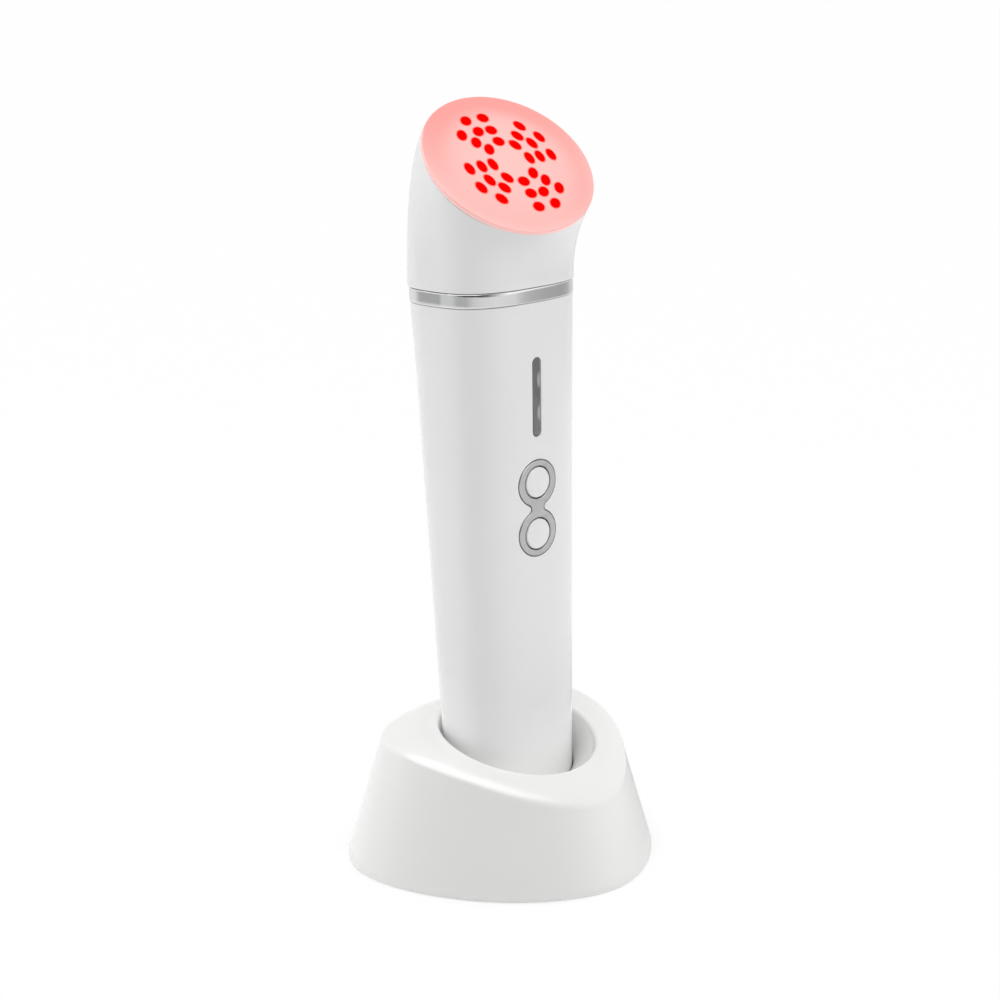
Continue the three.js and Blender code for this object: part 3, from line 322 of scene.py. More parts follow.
# %% White plastics
def white_gloss(name, light, dark, gloss, coat=0.35):
    finish = new_finish(name, light, gloss, IOR=1.5, Coat_Weight=coat, Coat_Roughness=0.06)
    drifting_tone(finish, dark, light, 26)
    uneven_gloss(finish, gloss * 0.85, gloss * 1.2, 70)
    fine_grain(finish, 2400, 0.00001, 0.15)
    return finish


handset_white = white_gloss("handset_gloss_white", (0.80, 0.80, 0.80), (0.785, 0.786, 0.787), 0.24)
stand_white = white_gloss(
    "stand_gloss_white", (0.85, 0.846, 0.838), (0.836, 0.832, 0.824), 0.24, 0.15)
key_white = white_gloss("key_satin_white", (0.81, 0.81, 0.81), (0.79, 0.79, 0.792), 0.3)
print("three white plastics")

# %% [markdown]
# Light through thin walls
#
# Thin white walls let some light through, so the hollow where the handset stands is lighter than it
# would be between thick ones. Real scattering would be slow and noisy for so faint a light. So each
# white gets a trace of light of its own, only near the well, and only where the ambient occlusion
# node finds the surface half closed in. Open faces get none, and the deepest gaps stay dark.

# %% Let light into the well
well_middle_y, gap_reach = -0.007, 0.02
thin_wall_tint = (1.0, 0.995, 0.985)


def maths(owner, operation, *terms, kind="Math"):
    node = add_node(owner, kind)
    node.operation = operation
    for socket, term in zip(node.inputs, terms):
        feed(owner, term, socket)
    return node.outputs["Value"]


def distance_from(owner, place, shift, scale):
    """How far a point is from the middle, once it has been scaled and shifted."""
    spread = add_node(owner, "Mapping", Vector=place, Location=shift, Scale=scale)
    return maths(owner, "LENGTH", spread.outputs["Vector"], kind="VectorMath")


def thin_wall_light(finish, weights, outside, inside, most):
    """Weights choose the axes along which the distance, in metres, is measured."""
    hollow = add_node(finish, "AmbientOcclusion", Distance=gap_reach)
    hollow.samples = 8
    openness = hollow.outputs["AO"]
    place = add_node(finish, "TexCoord").outputs["Object"]
    away = distance_from(finish, place, (0, -well_middle_y * weights[1], 0), weights)
    in_zone = between(finish, away, outside, inside)
    closed = between(finish, openness, 1.0, 0.0, 0.0, most)
    half_closed = maths(finish, "MULTIPLY", closed, openness)
    light = maths(finish, "MULTIPLY", in_zone, half_closed)
    shade(finish, Emission_Color=thin_wall_tint, Emission_Strength=light)


thin_wall_light(stand_white, (1, 1, 0), outside=0.025, inside=0.0215, most=0.27)
thin_wall_light(handset_white, (0, 0, 1), outside=0.07, inside=0.045, most=0.26)
print("light reaches", gap_reach / MM, "mm into the hollows")

# %% [markdown]
# The barrel
#
# The barrel is one moulded tube that widens towards the head, with flattened front and sides, a
# hollow inside and a thin neck that the ring and the head slip over. Rings at closely spaced
# heights make it. Its edges are turned over a small round, because a real moulding has no knife
# edge, and that round is what catches the thin bright lines at the joints.

# %% Draw the barrel and its neck
def barrel_ring(height, inset=0.0, place=None):
    size = barrel_size(min(height, barrel_length))
    return oval(*size, flat_power, height if place is None else place, inset)


def neck_ring(inset, rise):
    return barrel_ring(barrel_length, inset, barrel_length + rise)


cap_seam, edge_round, barrel_wall = 1.8, 0.3, 2.0
round_low, round_high = cap_seam + edge_round, barrel_length - edge_round
outer_heights = np.concatenate([
    np.linspace(round_low, panel_height - 16, 24),
    np.linspace(panel_height - 14.5, panel_height + 42, 44),  # closer where the openings are
    np.linspace(panel_height + 43.5, round_high, 9),
])
low_edge = rounded_edge(
    barrel_ring(cap_seam, edge_round), barrel_ring(cap_seam), barrel_ring(round_low))
top_edge = rounded_edge(
    barrel_ring(round_high), barrel_ring(barrel_length), barrel_ring(barrel_length, edge_round))
neck_rows = [(2.4, 0), (2.4, 6), (3.6, 6), (3.6, 9), (5.2, 9), (5.2, 0)]
inner_heights = [141.2, 118.2, 60, cap_seam]
barrel = skin(
    "handle_barrel",
    low_edge[:-1]
    + [barrel_ring(height) for height in outer_heights]
    + top_edge[1:]
    + [neck_ring(inset, rise) for inset, rise in neck_rows]
    + [barrel_ring(height, barrel_wall) for height in inner_heights],
    handset_frame,
    tube=True,
)

# %% [markdown]
# Openings in the barrel's front
#
# The front has a slot for the indicator, two round bores for the keys and a shallow figure-eight
# bed for their trim. A boolean cut with a shaped tool makes each one. Each tool flares out just
# under the surface, so the cut gets the small lead-in that a mould leaves. Cutting is simpler than
# weaving the holes into the rings, and the rings are close enough together for it to stay clean.

# %% Outlines of the slot and of the figure-eight trim
key_pitch = 14.1
trim_radius, trim_hole, trim_waist, trim_squash = 6.5, 4.5, 4.3, 0.965
window_above, window_length, window_width = 30.0, 20.9, 2.7


def arc(x, y, radius, start, end, steps):
    angles = np.linspace(start, end, steps)
    return np.stack([x + radius * np.cos(angles), y + radius * np.sin(angles)], axis=1)


def circle(x, y, radius, steps):
    return arc(x, y, radius, 0, 2 * math.pi, steps + 1)[:-1]


def long_slot(width, length, steps=24):
    reach = (length - width) / 2
    top = arc(0, reach, width / 2, 0, math.pi, steps)
    low = arc(0, -reach, width / 2, math.pi, 2 * math.pi, steps)
    return np.concatenate([top, low])


def figure_eight(margin, steps=40):
    radius, waist, rise = trim_radius + margin, trim_waist / 2 + margin, key_pitch / 2
    fillet = (waist**2 + rise**2 - radius**2) / (2 * (radius - waist))
    turn = math.atan2(rise, waist + fillet)
    parts = [
        arc(0, rise, radius, -turn, math.pi + turn, steps),
        arc(-waist - fillet, 0, fillet, turn, -turn, steps // 2)[1:-1],
        arc(0, -rise, radius, math.pi - turn, 2 * math.pi + turn, steps),
        arc(waist + fillet, 0, fillet, math.pi + turn, math.pi - turn, steps // 2)[1:-1],
    ]
    return np.concatenate(parts) * [1, trim_squash]


print("figure-eight outline:", len(figure_eight(0)), "points")

# %% Tools for cutting
def flat_ring(outline, height):
    return np.column_stack([outline, np.full(len(outline), float(height))])


def plug(x, y, radius, low, high, place=stand_frame, steps=40):
    ring = circle(x, y, radius, steps)
    return skin("cutter", [flat_ring(ring, low), flat_ring(ring, high)], place)


def flared_tool(outline_at, floor, sill, flare, place):
    """A plug that widens over the last bit below the surface, seen as growth of its outline."""
    levels = [
        (floor, 0), (sill - flare, 0), (sill - flare / 3, flare / 4), (sill, flare),
        (0.5, flare + 0.3),
    ]
    return skin("cutter", [flat_ring(outline_at(grow), level) for level, grow in levels], place)


def plain_mesh_of(holder):
    """The mesh that a modifier or a curve comes to."""
    return bpy.data.meshes.new_from_object(
        holder.evaluated_get(bpy.context.evaluated_depsgraph_get()))


def cut_out(piece, *tools):
    for tool in tools:
        cutter = piece.modifiers.new("cut", "BOOLEAN")
        cutter.operation = "DIFFERENCE"
        cutter.solver = "EXACT"
        cutter.object = tool
        fresh, old = plain_mesh_of(piece), piece.data
        piece.modifiers.clear()
        piece.data = fresh
        bpy.data.meshes.remove(old)
        bpy.data.objects.remove(tool)
    smooth_shade(piece.data)
    print(f"{piece.name}: {len(tools)} cuts leave {len(piece.data.polygons)} faces")


print("cutting tools are ready")

# %% Cut the openings
slot_frame = panel_frame @ Matrix.Translation((0, window_above, 0))
key_frames = {
    name: panel_frame @ Matrix.Translation((0, side * key_pitch / 2, 0))
    for name, side in (("power", 1), ("mode", -1))
}
slot_play, trim_play, bore_floor = 0.4, 0.25, -3.5


def window_slot(grow):
    return long_slot(window_width + slot_play + 2 * grow, window_length + slot_play + 2 * grow)


cut_out(
    barrel,
    flared_tool(window_slot, bore_floor, 0, 0.12, slot_frame),
    flared_tool(lambda grow: figure_eight(trim_play + grow), -1.18, -0.02, 0.1, panel_frame),
    *[plug(0, 0, trim_hole, bore_floor, 0.5, place, 48) for place in key_frames.values()],
)

# %% [markdown]
# Smooth shading after a cut
#
# A cut leaves odd-shaped faces round each opening, and their averaged shading would show as smudges
# on the gloss. The barrel's outline is a formula, so its true direction is known at every point.
# Writing that direction into the mesh keeps the reflections calm right up to each edge. A very fine
# mesh would also hide the smudges, but at a hundred times the faces.

# %% Give the barrel its exact surface directions
def barrel_direction(point):
    """Where a point is against the outline, which has the value 1, and which way it faces."""
    x, y, height = point
    step = 0.5
    width, front, back = barrel_size(height)

    def level(at):
        w, f, b = barrel_size(at)
        return abs(x / w) ** flat_power + abs(y / (f if y < 0 else b)) ** flat_power

    depth = front if y < 0 else back
    slope_x = flat_power * math.copysign(abs(x) ** (flat_power - 1), x) / width**flat_power
    slope_y = flat_power * math.copysign(abs(y) ** (flat_power - 1), y) / depth**flat_power
    slope_z = (level(height + step) - level(height - step)) / (2 * step)
    return level(height), Vector((slope_x, slope_y, slope_z)).normalized()


def true_shading(piece, direction, low, high):
    mesh = piece.data
    exact = []
    for vertex in mesh.vertices:
        point = vertex.co / MM
        value, normal = direction(point)
        on_skin = abs(value - 1) < 0.002 and low <= point.z <= high
        exact.append(normal if on_skin else None)
    normals = [corner.vector.copy() for corner in mesh.corner_normals]
    for face in mesh.polygons:
        if all(exact[index] is not None for index in face.vertices):
            for corner in face.loop_indices:
                normals[corner] = exact[mesh.loops[corner].vertex_index]
    mesh.normals_split_custom_set(normals)
    print(f"{piece.name}: {sum(entry is not None for entry in exact)} points shaded exactly")


true_shading(barrel, barrel_direction, round_low, round_high)
dress(barrel, handset_white, "handset", ["handle_shell"])

# %% [markdown]
# The head
#
# The head grows out of the ring, leaves it straight up and sweeps out to a slanted oval rim, with
# more pull at the back than in front, and a little fuller at the two front sides. Sculpting it would
# be possible, but its outline in the photo fits one simple curve per line round the head, so it is
# drawn from those curves. Under the rim the shell turns in to a ledge for the board of lights.

# %% Curves of the head
rim_width, rim_height, rim_shift = 53.0, 43.7, -0.16
head_start, head_over = 4, (0.3, 0.6, 0.83)
pull_mean, pull_at_back, pull_at_sides = 0.695, 0.151, 0.08
corner_in, corner_at_sides = 0.96, 0.03
face_up = np.array(face_in_handset.to_3x3() @ Vector((0, 0, 1)))


def face_oval(inset, rise):
    ring = oval(rim_width / 2, rim_height / 2, rim_height / 2, 2, rise, inset)
    return ring + np.array([0, rim_shift, 0])


def head_lines(inset):
    """Where each line round the head starts, the corner that bends it, and where it ends."""
    size = [half + over for half, over in zip(barrel_size(barrel_length), head_over)]
    start = oval(*size, flat_power, barrel_length + head_start, inset)
    end = moved(face_oval(inset, 0), face_in_handset)
    fuller = np.cos(turns) ** 2 * (1 - np.sin(turns))
    pull = pull_mean + pull_at_back * np.sin(turns) - pull_at_sides * fuller
    corner = start * (corner_in + corner_at_sides * fuller)[:, None]
    corner[:, 2] = start[:, 2] + (end[:, 2] - start[:, 2]) * pull
    return start, corner, end


def head_ring(share, inset=0.0):
    return bent(*head_lines(inset), share)


def flare_ring(rise, inset=0.0):
    """The flare's last straight bit, at a height over the face."""
    _, corner, end = head_lines(inset)
    drop = corner - end
    return end + drop * (rise / (drop @ face_up))[:, None]


print("head grows from", round(2 * barrel_size(barrel_length)[0], 1), "to", rim_width, "mm wide")

# %% Draw the head
rim_seam, ledge_top, seat_floor, ledge_low = -0.8, -3.3, -5.3, -7.3
pocket_inset, seat_radius, seat_hole = 3.1, 17.6, 15.6
foot_end, flare_start = 0.012, 0.962


def round_ring(radius, height, steps):
    angles = np.arange(steps) / steps * 2 * math.pi
    x, y = radius * np.cos(angles), radius * np.sin(angles)
    return np.stack([x, y, np.full(steps, float(height))], axis=1)


ledge_rows = [
    (seat_radius, ledge_top), (seat_radius, seat_floor),
    (seat_hole, seat_floor), (seat_hole, ledge_low),
]
foot_edge = rounded_edge(head_ring(0, 0.3), head_ring(0), head_ring(foot_end), 4)
seam_edge = rounded_edge(
    flare_ring(rim_seam - 0.1), flare_ring(rim_seam), flare_ring(rim_seam, 0.12), 4)
under_face = [face_oval(pocket_inset, level) for level in (rim_seam, ledge_top)]
under_face += [round_ring(radius, level, ROUND) for radius, level in ledge_rows]
head = skin(
    "head_flare",
    foot_edge[:-1]
    + [head_ring(share) for share in np.linspace(foot_end, flare_start, 46)]
    + seam_edge
    + [moved(ring, face_in_handset) for ring in under_face]
    + [head_ring(share, barrel_wall) for share in (0.7, 0.4, 0.0)],
    handset_frame,
    tube=True,
)
dress(head, handset_white, "handset", ["head_shell"])

# %% [markdown]
# The chrome ring
#
# A bright plated ring covers the joint between barrel and head. It is a band that follows the
# barrel's outline, with a small round at both edges. A plain bevel modifier would do on a true
# circle, but the outline here is a flattened oval, so the round is made from rings too. Chrome has
# no colour of its own: it is a clean metal whose look comes from what it mirrors.

# %% Draw and plate the ring
ring_low, ring_high, ring_round = 0.08, 3.82, 0.3
ring_tucked, ring_proud, ring_inner = 0.2, -0.15, 2.1
chrome_band = skin(
    "chrome_band",
    rounded_edge(
        neck_ring(ring_tucked, ring_low),
        neck_ring(ring_proud, ring_low),
        neck_ring(ring_proud, ring_low + ring_round),
    )
    + [neck_ring(ring_proud, rise) for rise in (1.4, 2.6)]
    + rounded_edge(
        neck_ring(ring_proud, ring_high - ring_round),
        neck_ring(ring_proud, ring_high),
        neck_ring(ring_tucked, ring_high),
    )
    + [neck_ring(ring_inner, ring_high), neck_ring(ring_inner, ring_low)],
    handset_frame,
    tube=True,
)
mirror_chrome = new_finish("mirror_chrome", (0.78, 0.785, 0.79), 0.06, 1.0)
drifting_tone(mirror_chrome, (0.76, 0.765, 0.77), (0.80, 0.80, 0.80), 60)
uneven_gloss(mirror_chrome, 0.04, 0.10, 900, (1, 1, 6))
fine_grain(mirror_chrome, 3000, 0.000004, 0.1)
dress(chrome_band, mirror_chrome, "handset", ["chrome_ring"])

# %% [markdown]
# The lens
#
# The slanted face is one piece of pale pink plastic that carries on the head's flare and ends in a
# small round. It could be cut from a sphere, but its outline has to meet the flare all the way
# round. So it is a skin too, from the flare's own rings up over the round to a low dome.

# %% Draw the lens
lens_inset, lens_low, lens_round, lens_dome = 3.4, -1.6, 0.4, 0.85
lens_seam, lens_edge_round = rim_seam + 0.08, 0.08
to_face = face_in_handset.inverted()


def flare_on_face(rise, inset=0.0):
    return moved(flare_ring(rise, inset), to_face)


def dome_at(share):
    """Inset and height of the dome, at a share of the way from its middle to its edge."""
    return rim_height / 2 * (1 - share), lens_round + lens_dome * (1 - share**2)


lens_edge = rounded_edge(
    flare_on_face(lens_seam, lens_edge_round),
    flare_on_face(lens_seam),
    flare_on_face(lens_seam + lens_edge_round),
    3,
)
rim_turn = [
    (lens_round * (1 - math.cos(angle)), lens_round * math.sin(angle))
    for angle in np.linspace(0, math.pi / 2, 8)
]
lens = skin(
    "face_lens",
    [face_oval(lens_inset, lens_low), face_oval(lens_inset, lens_seam)]
    + lens_edge
    + [face_oval(inset, rise) for inset, rise in rim_turn]
    + [face_oval(*dome_at(share)) for share in np.linspace(0.96, 0.02, 22)],
    face_frame,
)

# %% [markdown]
# The lens's pink
#
# The rim is deeper pink, partly because one looks through more plastic there and partly as painted
# shade of its rounded edge, and the middle is washed lighter by the lights behind, as a painted
# glow.
# Real scattering could give that, but slowly and with noise. A tone that changes with the distance
# from the middle gives the same look at once. It is laid on in four steps: the ramp, painted shade
# that warms the right side, deeper painted shade at the top and painted light on the lower edge.

# %% Tint the lens, with a painted glow in its middle and painted shade near its rim
# colours of the painted shade round the rim and of the painted light on its lower edge
painted_shade_pink, painted_light_pink = (0.89, 0.275, 0.25), (0.96, 0.58, 0.55)
ramp_reach, wander_size, middle_shift = 1.1, 0.10, 0.0073
one_at_rim = (2000 / rim_width, 2000 / rim_height, 0)
# the lighter middle is a painted glow of the lights behind; the deeper band near the rim is partly
# painted shade
tint_glow_and_shade_stops = [
    (0.10, (0.90, 0.47, 0.435)),
    (0.45, (0.90, 0.46, 0.43)),
    (0.66, (0.90, 0.44, 0.41)),
    (0.80, (0.90, 0.425, 0.395)),
    (0.94, (0.90, 0.42, 0.39)),
    (1.06, (0.91, 0.48, 0.45)),
]
# the lens's faint glow is painted light from the lights behind it, and it carries the painted shade
# and light of its tone
lens_pink = new_finish(
    "lens_pink", (1.0, 0.56, 0.53), 0.16,
    Coat_Weight=0.5, Coat_Roughness=0.05, Emission_Strength=0.12)
on_lens = add_node(lens_pink, "TexCoord").outputs["Object"]
from_middle = distance_from(lens_pink, on_lens, (0, middle_shift, 0), one_at_rim)
wander = maths(lens_pink, "MULTIPLY_ADD", noise_in(lens_pink, 60), wander_size, from_middle)
tint_glow_and_shade = tone_ramp(
    lens_pink,
    maths(lens_pink, "DIVIDE", wander, ramp_reach),
    [(position / ramp_reach, color) for position, color in tint_glow_and_shade_stops],
)
print("lens tint in", len(tint_glow_and_shade_stops), "steps")

# %% Paint shade round the rim, most of all at its top, and paint light on its lower side
def blended(owner, share, under, over):
    blend = add_node(owner, "Mix")
    blend.data_type = "RGBA"
    for index, value in ((0, share), (6, under), (7, over)):
        feed(owner, value, blend.inputs[index])
    return blend.outputs[2]


lens_place = add_node(lens_pink, "SeparateXYZ", Vector=on_lens)
# painted shade at the top and right of the rim, and painted light along its lower edge
painted_top_shade = maths(
    lens_pink, "MULTIPLY",
    between(lens_pink, wander, 0.64, 0.93, soft=True),
    between(lens_pink, lens_place.outputs["Y"], -0.008, 0.019, 0.0, 0.95, soft=True),
)
painted_right_shade = maths(
    lens_pink, "MULTIPLY",
    between(lens_pink, wander, 0.66, 0.92, soft=True),
    between(lens_pink, lens_place.outputs["X"], 0.004, 0.020, 0.0, 0.35, soft=True),
)
painted_low_edge_light = between(lens_pink, lens_place.outputs["Z"], 0.0003, -0.0001, soft=True)
lens_tone = blended(lens_pink, painted_right_shade, tint_glow_and_shade, painted_shade_pink)
lens_tone = blended(lens_pink, painted_top_shade, lens_tone, painted_shade_pink)
lens_tone = blended(lens_pink, painted_low_edge_light, lens_tone, painted_light_pink)
shade(lens_pink, Base_Color=lens_tone, Emission_Color=lens_tone)
fine_grain(lens_pink, 900, 0.00001, 0.15)
dress(lens, lens_pink, "handset", ["treatment_lens"])
print("lens tint deepened")

# %% [markdown]
# The red lights
#
# Thirty-two diodes shine through clear oval windows in the lens, eight in each of four fans. Lamps
# behind a real see-through lens would cost a lot of render time for a fuzzy picture. So each window
# is a low oval drop, level with the lens and glowing red, whose edge fades into the pink.

# %% Place the lights
light_long, light_wide, light_steps = 3.8, 2.95, 28
fan_turn, fan_spread = math.radians(65.2), math.radians(22.5)
side_reaches, middle_reaches = (6.5, 10.3, 14.45), (11.35, 15.55)
drop_rows = ((1.12, -0.3), (1.12, 0.0), (0.95, 0.018), (0.75, 0.03), (0.4, 0.038))


def light_places():
    for group in range(4):
        heading = math.pi - fan_turn - group * math.pi / 2
        for side in (-fan_spread, fan_spread):
            for reach_out in side_reaches:
                yield heading + side, reach_out
        for reach_out in middle_reaches:
            yield heading, reach_out


def lens_height(x, y):
    """Height of the dome over a point, found by halving the range in which its ring can be."""
    low, high = 0.0, 1.0
    for _ in range(20):
        share = (low + high) / 2
        inset = dome_at(share)[0]
        width, height = rim_width / 2 - inset, rim_height / 2 - inset + 1e-9
        outside = math.hypot(x / width, (y - rim_shift) / height) > 1
        low, high = (share, high) if outside else (low, share)
    return dome_at(share)[1]


light_points, light_faces = [], []
for heading, reach_out in light_places():
    outward = np.array([math.cos(heading), math.sin(heading)])
    sideways = np.array([-outward[1], outward[0]])
    centre = reach_out * outward + (0, rim_shift)
    light_faces += skin_faces(light_steps, len(drop_rows), len(light_points))
    for share, rise in drop_rows:
        for step in range(light_steps):
            angle = 2 * math.pi * step / light_steps
            x, y = centre + share * (
                outward * light_wide / 2 * math.cos(angle)
                + sideways * light_long / 2 * math.sin(angle))
            light_points.append((x, y, lens_height(x, y) + rise))
lights_mesh = mesh_from("light_windows", light_points, light_faces, 60)
lights = add_piece("light_windows", lights_mesh, face_frame)
light_count = len(light_points) // (len(drop_rows) * light_steps)
print("lights:", light_count)

# %% Make them glow, with a paler edge
glow_red = new_finish(
    "glow_red", (0.9, 0.0, 0.0), 0.35,
    Specular_IOR_Level=0.0, Emission_Color=(1.0, 0.0, 0.0), Emission_Strength=0.9)
drifting_tone(glow_red, (0.80, 0.0, 0.0), (0.95, 0.001, 0.0), 500)
glow_edge = new_finish(
    "glow_edge", (0.92, 0.14, 0.12), 0.3, Emission_Color=(1.0, 0.10, 0.08), Emission_Strength=0.25)
drifting_tone(glow_edge, (0.90, 0.12, 0.10), (0.94, 0.17, 0.15), 700)
dress(lights, glow_red, "handset")
lights.data.materials.append(glow_edge)
per_light = [1] * (2 * light_steps) + [0] * (2 * light_steps) + [1, 0]
for face, index in zip(lights.data.polygons, per_light * light_count):
    face.material_index = index
print("faces per light:", len(per_light))

# %% [markdown]
# The trim round the keys
#
# A satin silver frame in the shape of an eight holds the two keys. A flat curve with two holes can
# be thickened and bevelled by Blender itself, which gives every edge the same crisp round, inside
# and out. It becomes a mesh, and is then bent to the barrel's front, which falls away to its sides.

# %% Draw the trim
def flat_curve(name, outlines, thickness, edge, place):
    curve = bpy.data.curves.new(name, "CURVE")
    curve.dimensions = "2D"
    curve.fill_mode = "BOTH"
    curve.extrude = (thickness / 2 - edge) * MM
    curve.bevel_depth = edge * MM
    curve.bevel_resolution = 3
    curve.offset = -edge * MM
    for outline in outlines:
        spline = curve.splines.new("POLY")
        spline.points.add(len(outline) - 1)
        for point, (x, y) in zip(spline.points, outline):
            point.co = (x * MM, y * MM, 0, 1)
        spline.use_cyclic_u = True
    holder = new_object(name, curve)
    mesh = plain_mesh_of(holder)
    bpy.data.objects.remove(holder)
    bpy.data.curves.remove(curve)
    mesh.name = name
    smooth_shade(mesh, 40)
    return add_piece(name, mesh, place)


def front_drop(x, height):
    width, front, _ = barrel_size(height)
    side = min(abs(x) / width, 0.99)
    return front * (1 - (1 - side**flat_power) ** (1 / flat_power))


trim_thick, trim_proud, trim_gap, trim_edge = 1.0, 0.12, 0.06, 0.16
trim_place = panel_frame @ Matrix.Translation((0, 0, trim_proud - trim_thick / 2))
key_rings = [circle(0, side * key_pitch / 2, trim_hole, 64) for side in (1, -1)]
trim = flat_curve(
    "key_trim", [figure_eight(-trim_gap), *key_rings], trim_thick, trim_edge, trim_place)
for vertex in trim.data.vertices:
    if vertex.co.z > 0:
        vertex.co.z -= front_drop(vertex.co.x / MM, panel_height + vertex.co.y / MM) * MM
print("trim:", len(trim.data.vertices), "points")

# %% Give the trim its satin silver
satin_silver = new_finish("satin_silver", (0.62, 0.62, 0.625), 0.3, 0.85)
drifting_tone(satin_silver, (0.48, 0.48, 0.483), (0.53, 0.53, 0.532), 700)
uneven_gloss(satin_silver, 0.24, 0.36, 2500)
fine_grain(satin_silver, 5000, 0.000006, 0.3)
dress(trim, satin_silver, "handset", ["button_bezel"])
print("trim dressed")

# %% [markdown]
# The two keys
#
# Each key is a small round cap that barely stands out of its ring, with a soft edge and a gently
# domed top, on a flange that keeps it in the barrel. Turning a profile about an axis is how such a
# part is drawn, and each key rides on its own body, so it can be pressed by itself.

# %% Turn the keys
key_radius, key_proud, key_dome, key_edge, dome_reach = 4.1, 0.25, 0.2, 0.4, 0.9
stem_radius, stem_low, flange_radius, flange_low, flange_top = 1.5, -4.2, 5.4, -3.2, -2.5
under_key = [
    (stem_radius, stem_low), (stem_radius, flange_low),
    (flange_radius, flange_low), (flange_radius, flange_top), (key_radius, flange_top),
]
edge_arc = [
    (key_radius - key_edge * (1 - math.cos(angle)), key_proud - key_edge * (1 - math.sin(angle)))
    for angle in np.linspace(0, math.pi / 2, 7)
]
dome_arc = [
    (key_radius * share, key_proud + key_dome * (1 - (share / dome_reach) ** 2))
    for share in np.linspace(0.86, 0.02, 10)
]
key_rows = [round_ring(radius, height, 64) for radius, height in under_key + edge_arc + dome_arc]
for name, key_frame in key_frames.items():
    key = skin(f"{name}_key", key_rows, key_frame)
    dress(key, key_white, f"{name}_button", [f"{name}_button"])

# %% [markdown]
# The indicator window
#
# Above the keys a narrow smoked window hides two small lamps. Their light shows as two paler
# patches in the grey. A real smoked pane would show almost nothing of lamps that are switched off
# so deep behind it, so the patches are laid into the pane's tone at the lamps' heights.

# %% Draw the window
pane_top, pane_shoulder, pane_low, pane_flange = -0.15, -2.5, -3.5, 3.2
pane_edge, pane_narrowing = 0.3, 0.6


def pane_ring(grow, height):
    return flat_ring(long_slot(window_width + grow, window_length + grow), height)


window = skin(
    "indicator_pane",
    [pane_ring(pane_flange, pane_low), pane_ring(pane_flange, pane_shoulder)]
    + [pane_ring(0, pane_shoulder), pane_ring(0, pane_top - pane_edge)]
    + [pane_ring(-pane_narrowing * (1 - math.cos(turn)),
                 pane_top - pane_edge * (1 - math.sin(turn)))
       for turn in np.linspace(0.2, math.pi / 2, 5)],
    slot_frame,
)

# %% Smoke the window
patch_grey, patch_heights = (0.5, 0.5, 0.5), (4.6, -4.2)
patch_wide, patch_long, patch_aside = 0.75, 2.2, 1.2
smoked = new_finish("smoked_pane", (0.19, 0.19, 0.195), 0.12, Coat_Weight=0.6, Coat_Roughness=0.04)
lit_tone = drifting_tone(smoked, (0.115, 0.115, 0.115), (0.15, 0.15, 0.15), 300)
on_pane = add_node(smoked, "TexCoord").outputs["Object"]
for patch_height in patch_heights:
    away = distance_from(
        smoked, on_pane,
        (-patch_aside, -patch_height / patch_long, 0), (1000 / patch_wide, 1000 / patch_long, 0))
    patch = between(smoked, away, 0.5, 1.2, 0.6, 0.0, soft=True)
    lit_tone = blended(smoked, patch, lit_tone, patch_grey)
shade(smoked, Base_Color=lit_tone)
fine_grain(smoked, 2500, 0.000005, 0.1)
dress(window, smoked, "handset", ["indicator_window"])
print("window smoked, with", len(patch_heights), "paler patches")

# %% [markdown]
# The stand
#
# The stand is a low block with three soft sides. Its wall leans in to a crease, its top sinks like
# a saddle from back to front, and a round well opens in it. An outline with such soft corners is
# easiest to give by how far its tangent stands from the middle at each angle: a mean distance plus
# a few waves. Blocks rounded with a bevel would never get these slow curves.

# %% Outlines of the stand
STAND_ROUND = 192
stand_turns = np.arange(STAND_ROUND) / STAND_ROUND * 2 * math.pi
foot_outline = (42.65, ((2, -1.58), (3, 2.22), (4, 0.64), (6, -0.07)), -3.0)
crease_outline = (33.35, ((2, -0.41), (3, 2.37), (4, 0.05), (6, -0.07)), -4.47)
crease_z, crease_rise, crease_saddle, crease_lean = 31.33, 0.144, 2.22, 0.05
well_radius, well_y, lip_z, lip_slope, lip_saddle = 21.33, -6.98, 35.25, 0.191, -0.57


def outline_ring(outline, inset=0.0):
    mean, waves, centre_y = outline
    reach_out = mean - inset + sum(size * np.cos(count * stand_turns) for count, size in waves)
    swing = sum(-count * size * np.sin(count * stand_turns) for count, size in waves)
    x = reach_out * np.sin(stand_turns) + swing * np.cos(stand_turns)
    y = centre_y - reach_out * np.cos(stand_turns) + swing * np.sin(stand_turns)
    return np.stack([x, y, np.zeros(STAND_ROUND)], axis=1)


def crease_ring(inset=0.0):
    ring = outline_ring(crease_outline, inset)
    bearing = np.arctan2(ring[:, 0], crease_outline[2] - ring[:, 1])
    waves = crease_saddle * np.cos(2 * bearing), crease_lean * np.cos(3 * bearing)
    ring[:, 2] = crease_z + crease_rise * ring[:, 1] - waves[0] - waves[1]
    return ring


def wall_ring(height, inset=0.0):
    """A ring of the leaning wall, between the foot's outline and the crease."""
    low, high = outline_ring(foot_outline, inset), crease_ring(inset)
    share = (height / high[:, 2])[:, None]
    ring = low * (1 - share) + high * share
    ring[:, 2] = height
    return ring


def lip_ring(grow=0.0, drop=0.0):
    radius = well_radius + grow
    y = well_y - radius * np.cos(stand_turns)
    height = lip_z + lip_slope * y + lip_saddle * np.cos(2 * stand_turns) - drop
    return np.stack([radius * np.sin(stand_turns), y, height], axis=1)


def socket_ring(margin, height):
    """The handset foot's oval with some room round it, leaning as the handset does."""
    size = barrel_size(0)
    ring = oval(*size, flat_power, height, -margin, stand_turns - math.pi / 2)
    return moved(ring, handset_frame)


print("crease runs", round(float(np.ptp(crease_ring()[:, 2])), 1), "mm up and down")

